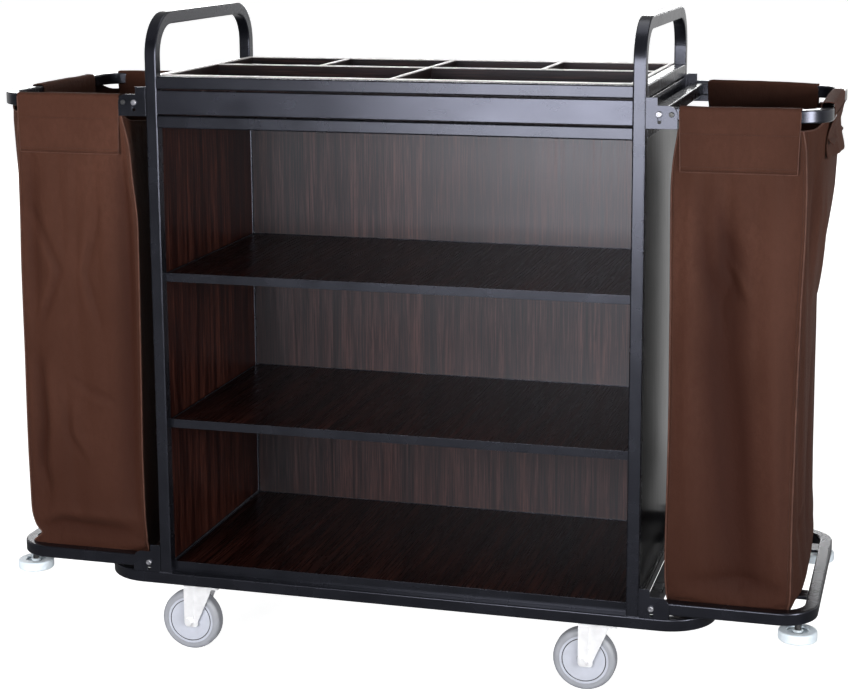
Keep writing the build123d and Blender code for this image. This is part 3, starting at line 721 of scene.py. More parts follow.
@dataclass(frozen=True)
class Binding(Finish):
    """Folded tape or thread along the bag's seams, a little paler than the cloth."""

    name: str
    base: Colour
    pale: Colour
    twist_cycles: float = 700.0
    patch_cycles: float = 40.0
    twist_depth: float = 0.00020
    gloss: Span = (0.6, 0.8)

    def mix(self) -> bpy.types.Material:
        """Builds the material."""
        make = Recipe(self.name)
        fibre = make.speckle(self.twist_cycles, detail=3.0)
        patch = make.speckle(self.patch_cycles)
        tone = make.sum(make.sum(fibre, patch), 0.5, "MULTIPLY")
        return make.dress(
            Base_Color=make.ramp(tone, ((0.35, self.base), (0.65, self.pale))),
            Roughness=make.span(fibre, *self.gloss),
            Normal=make.bump(fibre, self.twist_depth, strength=0.6),
            Specular_IOR_Level=0.15,
        )


@dataclass(frozen=True)
class FinishBook:
    """Every finish of the trolley, and which CAD node wears which."""

    paint: PowderCoat = PowderCoat()
    back_wood: WoodLaminate = WoodLaminate(
        "wenge_back_laminate",
        GrainAxis.Z,
        dark=(0.0056, 0.0010, 0.0006),
        middle=(0.0190, 0.0047, 0.0032),
        light=(0.0560, 0.0184, 0.0132),
        specular=0.48,
    )
    side_wood: WoodLaminate = WoodLaminate(
        "wenge_side_laminate",
        GrainAxis.Z,
        light=(0.0950, 0.0300, 0.0195),
        specular=0.08,
        plain_beyond=0.494,
    )
    shelf_wood: WoodLaminate = WoodLaminate(
        "wenge_shelf_laminate",
        GrainAxis.Y,
        dark=(0.0030, 0.0005, 0.0003),
        middle=(0.0110, 0.0027, 0.0018),
        light=(0.0380, 0.0115, 0.0080),
        gloss=(0.24, 0.32),
        specular=0.04,
    )
    tray_wood: WoodLaminate = WoodLaminate(
        "wenge_tray_laminate",
        GrainAxis.X,
        dark=(0.0030, 0.0005, 0.0003),
        middle=(0.0110, 0.0027, 0.0018),
        light=(0.0360, 0.0115, 0.0080),
        specular=0.26,
    )
    fascia: FasciaLaminate = FasciaLaminate()
    edging: BrightEdging = BrightEdging()
    zinc: PlatedSteel = PlatedSteel()
    bolt_zinc: PlatedSteel = PlatedSteel(
        "dull_bolt_zinc", base=(0.26, 0.26, 0.28), dull=(0.16, 0.16, 0.18), metal=0.85, gloss=(0.34, 0.46)
    )
    black: BlackSteel = BlackSteel()
    tyre: MouldedPlastic = MouldedPlastic(
        "grey_tyre_rubber", base=(0.29, 0.30, 0.33), dusty=(0.33, 0.34, 0.38), gloss=(0.50, 0.64)
    )
    hub: MouldedPlastic = MouldedPlastic(
        "pale_hub_plastic", base=(0.49, 0.51, 0.58), dusty=(0.54, 0.56, 0.64), gloss=(0.36, 0.46)
    )
    roller: MouldedPlastic = MouldedPlastic(
        "pale_roller_plastic", base=(0.78, 0.87, 0.94), dusty=(0.84, 0.92, 0.98), gloss=(0.34, 0.46)
    )
    cloth: BagCloth = BagCloth()
    piping: Binding = Binding("seam_piping", (0.054, 0.0215, 0.0140), (0.104, 0.0460, 0.0320))
    thread: Binding = Binding("seam_thread", (0.030, 0.0110, 0.0070), (0.062, 0.0270, 0.0190), 1800.0)
    weld: PowderCoat = PowderCoat(
        "coated_weld",
        deep=(0.008, 0.008, 0.011),
        pale=(0.014, 0.014, 0.018),
        gloss=(0.24, 0.34),
        peel=0.00004,
    )

    def for_node(self, node: str, slot: str) -> Finish:
        """The finish of a CAD node.

        Args:
            node: the node's name.
            slot: the record's slot that the node wears.

        Returns:
            The finish.
        """
        if slot == "wood_laminate":
            if "shelf" in node or "floor" in node:
                return self.shelf_wood
            if "tray" in node:
                return self.tray_wood
            return self.back_wood if "back" in node else self.side_wood
        if slot == "zinc_steel" and "bolts" in node:
            return self.bolt_zinc
        return {
            "frame_paint": self.paint,
            "fascia_laminate": self.fascia,
            "edge_trim": self.edging,
            "zinc_steel": self.zinc,
            "black_steel": self.black,
            "bag_cloth": self.cloth,
            "hub_plastic": self.hub,
            "tyre_rubber": self.tyre,
            "roller_plastic": self.roller,
        }[slot]


FINISHES = FinishBook()


# Mesh tools


def put(name: str, mesh: bpy.types.Mesh, finish: Optional[Finish] = None) -> bpy.types.Object:
    """Puts a mesh in the scene at the origin.

    Args:
        name: the piece's name.
        mesh: its mesh, placed in the frame.
        finish: what it wears.

    Returns:
        The object.
    """
    mesh.name = name
    piece = bpy.data.objects.new(name, mesh)
    bpy.context.scene.collection.objects.link(piece)
    if finish is not None:
        mesh.materials.clear()
        mesh.materials.append(finish.material)
    return piece


def settled(piece: bpy.types.Object) -> bpy.types.Mesh:
    """A plain mesh of an object with its modifiers; the object is removed.

    Args:
        piece: the object.

    Returns:
        The new mesh.
    """
    depsgraph = bpy.context.evaluated_depsgraph_get()
    depsgraph.update()
    mesh = bpy.data.meshes.new_from_object(piece.evaluated_get(depsgraph), depsgraph=depsgraph)
    old = piece.data
    bpy.data.objects.remove(piece)
    bpy.data.meshes.remove(old)
    return mesh


def coordinates(mesh: bpy.types.Mesh) -> np.ndarray:
    """The mesh's vertices as rows of X, Y and Z."""
    out = np.empty(len(mesh.vertices) * 3)
    mesh.vertices.foreach_get("co", out)
    return out.reshape(-1, 3)


def normals(mesh: bpy.types.Mesh) -> np.ndarray:
    """The mesh's smooth vertex normals."""
    out = np.empty(len(mesh.vertices) * 3)
    mesh.vertex_normals.foreach_get("vector", out)
    return out.reshape(-1, 3)


def rise(value: np.ndarray, start: float, length: float) -> np.ndarray:
    """Shares that climb evenly from 0 to 1.

    Args:
        value: where they are read.
        start: the value up to which the share is 0.
        length: how much further on it reaches 1; a negative length climbs as the value falls.

    Returns:
        The shares.
    """
    return np.clip((value - start) / length, 0, 1)


def ways(line: np.ndarray) -> np.ndarray:
    """The way along a line of points from its first point to each."""
    return np.concatenate([[0], np.cumsum(np.linalg.norm(np.diff(line, axis=0), axis=1))])


def quads(rows: int, columns: int, first: int = 0, closed: bool = False) -> list[tuple[int, ...]]:
    """The faces of a grid of vertices.

    Args:
        rows: how many rows it has.
        columns: how many vertices a row has.
        first: the number of its first vertex.
        closed: whether each row goes round to its own start.

    Returns:
        Four vertices for each face.
    """
    faces = []
    for row in range(rows - 1):
        low = first + row * columns
        high = low + columns
        for here in range(columns if closed else columns - 1):
            after = (here + 1) % columns
            faces.append((low + here, low + after, high + after, high + here))
    return faces


@dataclass(frozen=True)
class Profile:
    """A size that changes with height, given at a few heights in millimetres."""

    heights: tuple[float, ...]
    sizes: tuple[float, ...]
    ease: float = 18.0

    def at(self, z: np.ndarray) -> np.ndarray:
        """The size at each height, eased between the given ones.

        Args:
            z: heights in millimetres.

        Returns:
            The sizes in millimetres.
        """
        steps = (-1.0, -0.5, 0.0, 0.5, 1.0)
        return sum(np.interp(z + self.ease * step, self.heights, self.sizes) for step in steps) / len(steps)


@dataclass(frozen=True)
class Fold:
    """A crease on a wall of a bag, along points of distance across the wall and height, in millimetres."""

    END_SHARE: ClassVar[float] = 0.3
    panel: Panel
    line: tuple[Span, ...]
    width: float
    depth: float

    def push(self, across: np.ndarray, z: np.ndarray) -> np.ndarray:
        """How far the crease moves the cloth, outward where it is positive.

        Args:
            across: distance along the wall in millimetres.
            z: height in millimetres.

        Returns:
            The movement in millimetres.
        """
        points = np.array(self.line, float)
        lengths = np.linalg.norm(np.diff(points, axis=0), axis=1)
        passed = ways(points)
        nearest, way = np.full(z.shape, np.inf), np.zeros(z.shape)
        for first, step, length, before in zip(points, np.diff(points, axis=0), lengths, passed):
            share = ((across - first[0]) * step[0] + (z - first[1]) * step[1]) / length**2
            share = np.clip(share, 0.0, 1.0)
            off = np.hypot(across - first[0] - share * step[0], z - first[1] - share * step[1])
            closer = off < nearest
            nearest = np.where(closer, off, nearest)
            way = np.where(closer, (before + share * length) / passed[-1], way)
        fade = self.END_SHARE + (1 - self.END_SHARE) * np.sqrt(np.clip(np.sin(np.pi * way), 0.0, 1.0))
        return self.depth * np.exp(-((nearest / self.width) ** 2)) * fade


class PathTree:
    """Geometry Nodes that lay stitches, weld ripples or a welt along the edges of a mesh."""

    _made: ClassVar[dict[RunKind, bpy.types.GeometryNodeTree]] = {}
    INPUTS: ClassVar[tuple[tuple[str, str], ...]] = (
        ("Geometry", "NodeSocketGeometry"),
        ("Pitch", "NodeSocketFloat"),
        ("Length", "NodeSocketFloat"),
        ("Radius", "NodeSocketFloat"),
        ("Unevenness", "NodeSocketFloat"),
        ("Seed", "NodeSocketInt"),
        ("Finish", "NodeSocketMaterial"),
    )

    @classmethod
    def get(cls, kind: RunKind) -> bpy.types.GeometryNodeTree:
        """The tree for one kind of run, built at first use.

        Args:
            kind: what is laid along the path.

        Returns:
            The node tree.
        """
        if kind not in cls._made:
            cls._made[kind] = cls._build(kind)
        return cls._made[kind]

    @classmethod
    def _build(cls, kind: RunKind) -> bpy.types.GeometryNodeTree:
        """Builds the tree: edges to curve, even steps, then the repeated shape or a swept tube.

        Args:
            kind: what is laid along the path.

        Returns:
            The node tree.
        """
        tree = bpy.data.node_groups.new(f"{kind.value}_run", "GeometryNodeTree")
        for name, socket in cls.INPUTS:
            tree.interface.new_socket(name, in_out="INPUT", socket_type=socket)
        tree.interface.new_socket("Geometry", in_out="OUTPUT", socket_type="NodeSocketGeometry")
        add, link = tree.nodes.new, tree.links.new
        source = add("NodeGroupInput").outputs
        curve = add("GeometryNodeMeshToCurve")
        steps = add("GeometryNodeResampleCurve")
        steps.mode = "LENGTH"
        link(source["Geometry"], curve.inputs["Mesh"])
        link(curve.outputs["Curve"], steps.inputs["Curve"])
        link(source["Pitch"], steps.inputs["Length"])
        if kind is RunKind.WELT:
            ring = add("GeometryNodeCurvePrimitiveCircle")
            ring.inputs["Resolution"].default_value = 8
            link(source["Radius"], ring.inputs["Radius"])
            sweep = add("GeometryNodeCurveToMesh")
            sweep.inputs["Fill Caps"].default_value = True
            link(steps.outputs["Curve"], sweep.inputs["Curve"])
            link(ring.outputs["Curve"], sweep.inputs["Profile Curve"])
            body = sweep.outputs["Mesh"]
        else:
            drop = add("GeometryNodeMeshUVSphere")
            drop.inputs["Segments"].default_value = 8
            drop.inputs["Rings"].default_value = 5
            drop.inputs["Radius"].default_value = 1.0
            spread = add("FunctionNodeRandomValue")
            low, high = add("ShaderNodeMath"), add("ShaderNodeMath")
            low.operation, high.operation = "SUBTRACT", "ADD"
            for end in (low, high):
                end.inputs[0].default_value = 1.0
                link(source["Unevenness"], end.inputs[1])
            link(low.outputs[0], spread.inputs[2])
            link(high.outputs[0], spread.inputs[3])
            link(source["Seed"], spread.inputs["Seed"])
            size = add("ShaderNodeCombineXYZ")
            link(source["Radius"], size.inputs[0])
            link(source["Radius"], size.inputs[1])
            link(source["Length"], size.inputs[2])
            scaled = add("ShaderNodeVectorMath")
            scaled.operation = "SCALE"
            link(size.outputs[0], scaled.inputs[0])
            link(spread.outputs[1], scaled.inputs["Scale"])
            turn = add("FunctionNodeAlignRotationToVector")
            turn.axis = "Z"
            link(add("GeometryNodeInputTangent").outputs["Tangent"], turn.inputs["Vector"])
            copies = add("GeometryNodeInstanceOnPoints")
            link(steps.outputs["Curve"], copies.inputs["Points"])
            link(drop.outputs["Mesh"], copies.inputs["Instance"])
            link(turn.outputs["Rotation"], copies.inputs["Rotation"])
            link(scaled.outputs["Vector"], copies.inputs["Scale"])
            body = copies.outputs["Instances"]
        real = add("GeometryNodeRealizeInstances")
        smooth = add("GeometryNodeSetShadeSmooth")
        paint = add("GeometryNodeSetMaterial")
        link(body, real.inputs["Geometry"])
        link(real.outputs["Geometry"], smooth.inputs["Geometry"])
        link(smooth.outputs["Geometry"], paint.inputs["Geometry"])
        link(source["Finish"], paint.inputs["Material"])
        link(paint.outputs["Geometry"], add("NodeGroupOutput").inputs["Geometry"])
        return tree


@dataclass
class PathRun:
    """A run of stitches, weld ripples or welt along one or more paths, made as one piece; sizes in metres."""

    name: str
    kind: RunKind
    finish: Finish
    pitch: float
    radius: float
    length: float = 0.0
    unevenness: float = 0.0
    seed: int = 7
    paths: list[np.ndarray] = field(default_factory=list)

    def add(self, path: Iterable[Sequence[float]]) -> None:
        """Adds a path, as points in metres."""
        self.paths.append(np.asarray(list(path), float))

    def build(self) -> bpy.types.Object:
        """Makes the piece.

        Returns:
            The object, a plain mesh at the origin.
        """
        points = np.concatenate(self.paths)
        starts = np.cumsum([0] + [len(path) for path in self.paths])
        edges = [(i, i + 1) for a, b in zip(starts[:-1], starts[1:]) for i in range(a, b - 1)]
        mesh = bpy.data.meshes.new(self.name)
        mesh.from_pydata(points.tolist(), edges, [])
        guide = put(f"{self.name}_path", mesh)
        modifier = guide.modifiers.new("run", "NODES")
        tree = PathTree.get(self.kind)
        modifier.node_group = tree
        values = {
            "Pitch": self.pitch,
            "Length": self.length,
            "Radius": self.radius,
            "Unevenness": self.unevenness,
            "Seed": self.seed,
            "Finish": self.finish.material,
        }
        for socket in tree.interface.items_tree:
            if socket.in_out == "INPUT" and socket.name in values:
                modifier[socket.identifier] = values[socket.name]
        return put(self.name, settled(guide), self.finish)


# Bags


@dataclass(frozen=True)
class SleeveForm:
    """How a bag's sleeve lies over its bar.

    Sizes are in millimetres: distances outward from the bar's outer face, and heights from the datum.
    The leaves are the sleeve's outer side, with heights from its hem. A rise is the value where it
    starts, and how much further on it is full.
    """

    over_bar: tuple[Span, ...] = (
        (2.6, 1146.0),
        (2.0, 1162.0),
        (1.8, 1176.0),
        (1.6, 1184.0),
        (0.4, 1189.2),
        (-3.5, 1191.0),
        (-8.0, 1191.4),
        (-12.5, 1191.5),
        (-17.0, 1191.4),
        (-21.5, 1191.0),
        (-25.6, 1189.2),
        (-26.8, 1183.0),
        (-27.2, 1172.0),
        (-27.0, 1158.0),
        (-24.0, 1136.0),
    )
    outer_leaf: tuple[Span, ...] = ((3.4, 0.0), (3.5, 8.0), (3.2, 20.0))
    side_leaf: tuple[Span, ...] = ((3.4, 0.0), (3.5, 18.0), (3.2, 59.0))
    leaf_points: int = 7
    outer_inside: tuple[Span, ...] = ((-15.0, 1132.0), (-6.0, 1122.0), (-0.6, 1116.0))
    side_inside: tuple[Span, ...] = ((-15.0, 1108.0), (-5.0, 1084.0), (-0.6, 1074.0))
    bar_top: float = 1188.0
    ripple_length: float = 240.0
    ripple_orders: tuple[int, ...] = (1, 2, 3, 5, 8)
    ripple_share: Span = (0.5, 1.0)
    ripple_phase: Span = (0.0, 6.28)
    ripple_out: float = 0.9
    ripple_up: float = 0.55
    outer_ripple: float = 1.4
    side_ripple: float = 0.7
    loose_off_rise: Span = (-1.0, 3.0)
    loose_fall: float = -60.0
    top_rise: Span = (1165.0, 26.0)
    flare_rise: Span = (1160.0, -45.0)
    waist_height: float = 1133.0
    waist_width: float = 24.0
    rear_pull: float = 14.0
    rear_pull_way: float = 80.0
    rear_pull_rise: Span = (0.0, 26.0)
    rear_raise: Point = (5.0, 3.0, 1.0)
    rear_raise_way: float = 120.0
    hem_draw: float = 0.03
    hem_drop: float = 120.0


@dataclass
class LaundryBag:
    """One cloth bag: four sewn walls and a base, with sleeves over three bars of the upper wing frame.

    Sizes are in millimetres, X counted outward from the trolley's middle and heights from the datum,
    which lies a little above the floor. The flat sizes, crumple_x and the radii of piping and thread are
    in metres.
    """

    FOOT_CREASE_RISE: ClassVar[float] = 14.0
    RIM_CREASE_RISE: ClassVar[float] = 10.0
    SEAM_CREASE_RISE: ClassVar[float] = 4.0
    SEAM_CREASE_LEAST: ClassVar[float] = 0.15
    side: Side
    inner: Profile
    seam: Profile
    rear_seam: Profile
    outer: Profile
    half_depth: Profile
    fullness: Profile
    folds: tuple[Fold, ...]
    sleeve_reach: dict[Bar, Span]
    flare: tuple[Span, ...]
    outer_hem: float
    waist: float
    puff: float
    seed: int
    foot: Profile = Profile((0, 100, 128, 162, 200, 245), (213, 214, 217, 217, 211, 209.5), 6.0)
    rim: float = 1150.0
    outer_rim: float = 1171.0
    inner_rim: float = 1138.0
    inner_sag: float = 20.0
    sag_ease: float = 0.06
    outer_climb: Span = (0.05, 0.10)
    hollow: float = 8.0
    full_crease: float = 16.0
    rear_draw: float = 0.0
    draw_ends: Span = (250.0, 1110.0)
    draw_ease: float = 120.0
    datum: float = 5.0
    cut: float = 700.0
    wall: float = 1.5
    columns: tuple[int, int, int, int] = (40, 54, 30, 44)
    rows: int = 116
    lowest_rows: tuple[float, ...] = (0.0, 0.004)
    foot_rows: int = 14
    foot_start: float = 0.010
    foot_share: float = 0.075
    base_rings: tuple[float, ...] = (0.22, 0.45, 0.68, 0.86, 0.96, 0.988)
    cap: float = 10.0
    frames: int = 24
    slack: float = 0.011
    seam_hold: float = 0.10
    upper_flat: Span = (1.58, 0.46)
    lower_flat: Span = (1.58, 0.75)
    base_fold: float = 0.25
    base_area: float = 0.125
    sleeve_cut: float = 270.0
    sleeve_round: float = 1304.0
    sleeve_hem: float = 1069.0
    sleeve_steps: int = 56
    sleeve_wall: float = 1.4
    sewn_levels: tuple[float, ...] = (1073.0, 1079.0, 1141.0)
    side_bar: float = 271.5
    outer_bar: float = 850.0
    crumple_x: float = 0.70
    sleeve: SleeveForm = SleeveForm()
    sewn_steps: int = 60
    piping_radius: float = 0.0019
    thread_radius: float = 0.00055
    sleeve_edge_radius: float = 0.0011
    sleeve_thread_radius: float = 0.0006
    piping_lift: float = 0.5
    foot_piping_lift: float = 0.6
    rim_piping_lift: float = -0.7
    stitch_lift: float = 0.3
    foot_stitch_row: int = 2
    bare_corner: int = 7

    def place(self, points: np.ndarray) -> np.ndarray:
        """Turns sizes of the right-hand bag into points of the frame.

        Args:
            points: rows of X, Y and Z in millimetres.

        Returns:
            Rows in metres, mirrored for the left-hand bag.
        """
        out = (np.array(points, float) + (0.0, 0.0, self.datum)) * MM
        out[..., 0] *= self.side.value
        return out

    @property
    def level(self) -> float:
        """The height in metres at which the bag is parted into its two lengths."""
        return (self.cut + self.datum) * MM

    def ring(self) -> tuple[np.ndarray, np.ndarray]:
        """The wall that each column is on, and its share of the way along it.

        Returns:
            Two arrays, one entry per column.
        """
        panel = np.concatenate([np.full(n, i) for i, n in enumerate(self.columns)])
        share = np.concatenate([np.arange(n) / n for n in self.columns])
        return panel, share

    def seam_column(self, panel: Panel) -> int:
        """The first column of a wall, which is the seam before it."""
        return int(sum(self.columns[: panel.value]))

    def rim_heights(self, panel: np.ndarray, share: np.ndarray) -> np.ndarray:
        """The height of the rim, which sags along the inner wall and climbs to the bar on the outer one.

        Args:
            panel: the wall that each column is on.
            share: its share of the way along it.

        Returns:
            One height per column, in millimetres.
        """
        inward = np.minimum(share, 1 - share)
        sagged = self.inner_rim - self.inner_sag * np.sin(np.pi * share)
        inner = self.rim + (sagged - self.rim) * rise(inward, 0.0, self.sag_ease)
        climb = rise(inward, *self.outer_climb)
        outer = self.rim + (self.outer_rim - self.rim) * climb**2 * (3 - 2 * climb)
        rim = np.where(panel == Panel.INNER.value, inner, self.rim)
        return np.where(panel == Panel.OUTER.value, outer, rim)

    def row_shares(self) -> np.ndarray:
        """How far up the wall each row is, from 0 at the foot to 1 at the rim, closest at the foot."""
        foot = np.linspace(self.foot_start, self.foot_share, self.foot_rows, endpoint=False)
        wall = np.linspace(self.foot_share, 1, self.rows - self.foot_rows - len(self.lowest_rows))
        return np.concatenate([self.lowest_rows, foot, wall])

    def shell(self) -> tuple[np.ndarray, np.ndarray]:
        """The walls as sewn, before they hang.

        Returns:
            Points by row and column in millimetres, and how far each is creased, from -1 in a hollow
            to 1 on a ridge.
        """
        panel, share = self.ring()
        rim = self.rim_heights(panel, share)
        up = self.row_shares()[:, None]
        stand = self.half_depth.sizes[0]
        from_middle = np.where(panel % 2 == 0, stand, stand * np.abs(1 - 2 * share))
        foot = self.foot.at(from_middle)[None, :]
        z = foot + up * (rim[None, :] - foot)
        t = np.broadcast_to(share, z.shape)
        xi, xs, xr, xo = (size.at(z) for size in (self.inner, self.seam, self.rear_seam, self.outer))
        deep, power = self.half_depth.at(z), self.fullness.at(z)
        bow = np.sin(np.pi * t)
        low, high = self.draw_ends
        drawn = self.rear_draw * rise(z, low, self.draw_ease) * rise(z, high, -self.draw_ease)
        walls = {
            Panel.FRONT: (xi + (xs - xi) * t, -deep, t * (xs - xi), (0, -1)),
            Panel.OUTER: (
                xs + (xr - xs) * t + (xo - (xs + xr) / 2) * (1 - np.abs(2 * t - 1) ** power),
                -deep + 2 * deep * t,
                2 * deep * t,
                (1, 0),
            ),
            Panel.REAR: (xr + (xi - drawn - xr) * t, deep, (1 - t) * (xr - xi), (0, 1)),
            Panel.INNER: (
                xi - drawn * (1 - t) + self.hollow * bow,
                deep - 2 * deep * t,
                2 * deep * (1 - t),
                (-1, 0),
            ),
        }
        points, creases = np.zeros((*z.shape, 3)), np.zeros(z.shape)
        points[..., 2] = z
        held = np.clip(up * self.FOOT_CREASE_RISE, 0, 1) * np.clip((1 - up) * self.RIM_CREASE_RISE, 0, 1)
        inward = np.clip(bow * self.SEAM_CREASE_RISE, self.SEAM_CREASE_LEAST, 1)
        for wall, (x, y, across, out) in walls.items():
            creased = (fold.push(across, z) for fold in self.folds if fold.panel is wall)
            push = sum(creased, np.zeros_like(z))
            push = push * held * inward
            here = panel == wall.value
            points[:, here, 0] = (x + push * out[0])[:, here]
            points[:, here, 1] = (np.broadcast_to(y, z.shape) + push * out[1])[:, here]
            # the crease share is read by the cloth finish to paint light on ridges and shade in hollows
            creases[:, here] = np.clip(push / self.full_crease, -1, 1)[:, here]
        return points, creases

    def sewn_mesh(self) -> tuple[bpy.types.Mesh, int]:
        """The walls and base as one mesh with a cloth map.

        Returns:
            The mesh, and how many vertices its base has.
        """
        walls, creases = self.shell()
        foot = walls[0]
        middle = foot.mean(0)
        base = [middle + (foot - middle) * share for share in self.base_rings]
        for ring in base:
            ring[:, 2] = self.foot.at(np.abs(ring[:, 1]))
        centre = np.array([middle[0], middle[1], self.foot.sizes[0]])
        rings = np.concatenate([np.array(base), walls])
        count = rings.shape[1]
        points = self.place(np.concatenate([[centre], rings.reshape(-1, 3)]))
        faces = [(0, 1 + (column + 1) % count, 1 + column) for column in range(count)]
        faces += quads(len(rings), count, first=1, closed=True)
        if self.side is Side.LEFT:
            faces = [face[::-1] for face in faces]
        mesh = bpy.data.meshes.new("bag_shell")
        mesh.from_pydata(points.tolist(), [], faces)
        base_count = 1 + len(self.base_rings) * count
        # crease attribute, from which the cloth paints light on ridges and shade in hollows
        wear_and_painted_light = mesh.attributes.new("crease", "FLOAT", "POINT")
        wear_and_painted_light.data.foreach_set("value", np.concatenate([np.zeros(base_count), creases.ravel()]))
        round_way = ways(np.vstack([foot, foot[:1]])) * MM
        layer = mesh.uv_layers.new(name="cloth")
        for poly in mesh.polygons:
            columns = [(v - 1) % count for v in poly.vertices]
            wraps = max(columns) - min(columns) > count // 2
            for loop, vertex, column in zip(poly.loop_indices, poly.vertices, columns):
                co = mesh.vertices[vertex].co
                if vertex < base_count:
                    layer.data[loop].uv = (co.x, co.y)
                else:
                    layer.data[loop].uv = (round_way[count if wraps and column == 0 else column], co.z)
        for poly in mesh.polygons:
            poly.use_smooth = True
        return mesh, base_count

    def hang(self, mesh: bpy.types.Mesh, base_count: int) -> bpy.types.Mesh:
        """Lets the sewn walls hang and buckle between the frames.

        Args:
            mesh: the sewn mesh.
            base_count: how many vertices its base has.

        Returns:
            The mesh at rest, one level finer.
        """
        count = sum(self.columns)
        start = coordinates(mesh)
        piece = put("bag_shell", mesh)
        pins = piece.vertex_groups.new(name="held")
        seams = {self.seam_column(panel) for panel in Panel}
        for vertex in range(len(start)):
            if not base_count + count <= vertex < len(start) - 2 * count:
                pins.add([vertex], 1.0, "REPLACE")
            elif (vertex - 1) % count in seams:
                pins.add([vertex], self.seam_hold, "REPLACE")
        cloth = piece.modifiers.new("hang", "CLOTH")
        how = cloth.settings
        how.quality = 5
        how.mass = 0.25
        how.tension_stiffness = how.compression_stiffness = 12.0
        how.shear_stiffness = 6.0
        how.bending_stiffness = 1.4
        how.air_damping = 4.0
        how.vertex_group_mass = "held"
        how.shrink_min = how.shrink_max = -self.slack
        how.effector_weights.gravity = 0.55
        cloth.collision_settings.use_collision = False
        cloth.collision_settings.use_self_collision = False
        cloth.point_cache.frame_start, cloth.point_cache.frame_end = 1, self.frames
        scene = bpy.context.scene
        for step in range(1, self.frames + 1):
            scene.frame_set(step)
        hung = settled(piece)
        scene.frame_set(1)
        moved = coordinates(hung) - start
        far = np.linalg.norm(moved, axis=1)[:, None]
        limit = self.cap * MM
        moved *= limit * np.tanh(far / limit) / np.maximum(far, 1e-9)
        hung.vertices.foreach_set("co", (start + moved).ravel())
        hung.update()
        piece = put("bag_shell", hung)
        finer = piece.modifiers.new("finer", "SUBSURF")
        finer.levels = finer.render_levels = 1
        return settled(piece)

    def thick_halves(self, mesh: bpy.types.Mesh) -> dict[Half, bpy.types.Object]:
        """Gives the cloth its thickness and parts it at mid height, with unbroken shading.

        Args:
            mesh: the hung walls and base.

        Returns:
            The two lengths of the bag.
        """
        points, outward = coordinates(mesh), normals(mesh)
        inside = points - outward * self.wall * MM
        count = len(points)
        creases = np.empty(count)
        mesh.attributes["crease"].data.foreach_get("value", creases)
        layer = mesh.uv_layers["cloth"]
        polys = {half: [] for half in Half}
        for poly in mesh.polygons:
            verts = tuple(poly.vertices)
            above = np.mean(points[list(verts), 2]) > self.level
            uv = [tuple(layer.data[loop].uv) for loop in poly.loop_indices]
            polys[Half.UPPER if above else Half.LOWER].append((verts, uv))
        made = {}
        for half in Half:
            faces, maps, sides = [], [], {}
            for verts, uv in polys[half]:
                faces += [verts, tuple(v + count for v in verts[::-1])]
                maps += [uv, uv[::-1]]
                for a, b, ua, ub in zip(verts, verts[1:] + verts[:1], uv, uv[1:] + uv[:1]):
                    if (b, a) in sides:
                        del sides[(b, a)]
                    else:
                        sides[(a, b)] = (ua, ub)
            for (a, b), (ua, ub) in sides.items():
                faces.append((b, a, a + count, b + count))
                maps.append([ub, ua, ua, ub])
            used = np.unique(np.concatenate([np.array(face) for face in faces]))
            order = {int(vertex): place for place, vertex in enumerate(used)}
            both = np.concatenate([points, inside])
            facing = np.concatenate([outward, -outward])
            new = bpy.data.meshes.new("bag_half")
            new.from_pydata(both[used].tolist(), [], [tuple(order[v] for v in face) for face in faces])
            cloth_map = new.uv_layers.new(name="cloth")
            cloth_map.data.foreach_set("uv", np.array([corner for face in maps for corner in face]).ravel())
            # crease attribute, from which the cloth paints light on ridges and shade in hollows
            wear_and_painted_light = new.attributes.new("crease", "FLOAT", "POINT")
            wear_and_painted_light.data.foreach_set("value", np.concatenate([creases, creases])[used])
            for poly in new.polygons:
                poly.use_smooth = True
            new.normals_split_custom_set_from_vertices(facing[used].tolist())
            made[half] = put(f"{self.side.word}_bag_{half.value}_length", new, FINISHES.cloth)
        bpy.data.meshes.remove(mesh)
        return made

    def sleeve_grid(self, bar: Bar) -> np.ndarray:
        """The outer face of a sleeve round one bar of the upper frame, from its hem over the bar.

        Args:
            bar: the bar that it goes round.

        Returns:
            Points by step along the bar and across the sleeve, in millimetres.
        """
        form = self.sleeve
        rng = np.random.default_rng(self.seed + len(bar.value))
        first, last = self.sleeve_reach[bar]
        off, height = self.sleeve_section(bar).T
        along = np.linspace(first, last, self.sleeve_steps)
        waves = []
        for order in form.ripple_orders:
            high = rng.uniform(*form.ripple_share) / order
            waves.append((high, order, rng.uniform(*form.ripple_phase)))
        turns = (along - first) / form.ripple_length
        ripple = sum(high * np.sin(2 * np.pi * order * turns + phase) for high, order, phase in waves)
        loose = rise(off, *form.loose_off_rise) * rise(height, form.bar_top, form.loose_fall)
        top = rise(height, *form.top_rise)
        swing = form.outer_ripple if bar is Bar.OUTER else form.side_ripple
        n = off + form.ripple_out * (ripple[:, None] + 1.0) * loose * swing
        z = height + (form.ripple_up * ripple)[:, None] * top
        s = np.repeat(along[:, None], len(off), 1)
        if bar is Bar.OUTER:
            leaf = off > 0
            lift = np.interp(along, *zip(*self.flare))
            n = n + lift[:, None] * (rise(height, *form.flare_rise) * leaf)
            n = n - self.waist * np.exp(-(((height - form.waist_height) / form.waist_width) ** 2)) * leaf
            z = z + self.puff * top
            return np.stack([self.outer_bar + n, s, z], -1)
        if bar is Bar.REAR:
            pulled = np.interp(along, (first, first + form.rear_pull_way), (form.rear_pull, 0.0))
            raised = np.interp(along, (first, first + form.rear_raise_way, last), form.rear_raise)
            s = s - pulled[:, None] * rise(-off, *form.rear_pull_rise)
            z = z + raised[:, None] * top
        s = s - form.hem_draw * (form.bar_top - z) / form.hem_drop * (s - (first + last) / 2)
        sign = -1.0 if bar is Bar.FRONT else 1.0
        return np.stack([s, sign * (self.side_bar + n), z], -1)

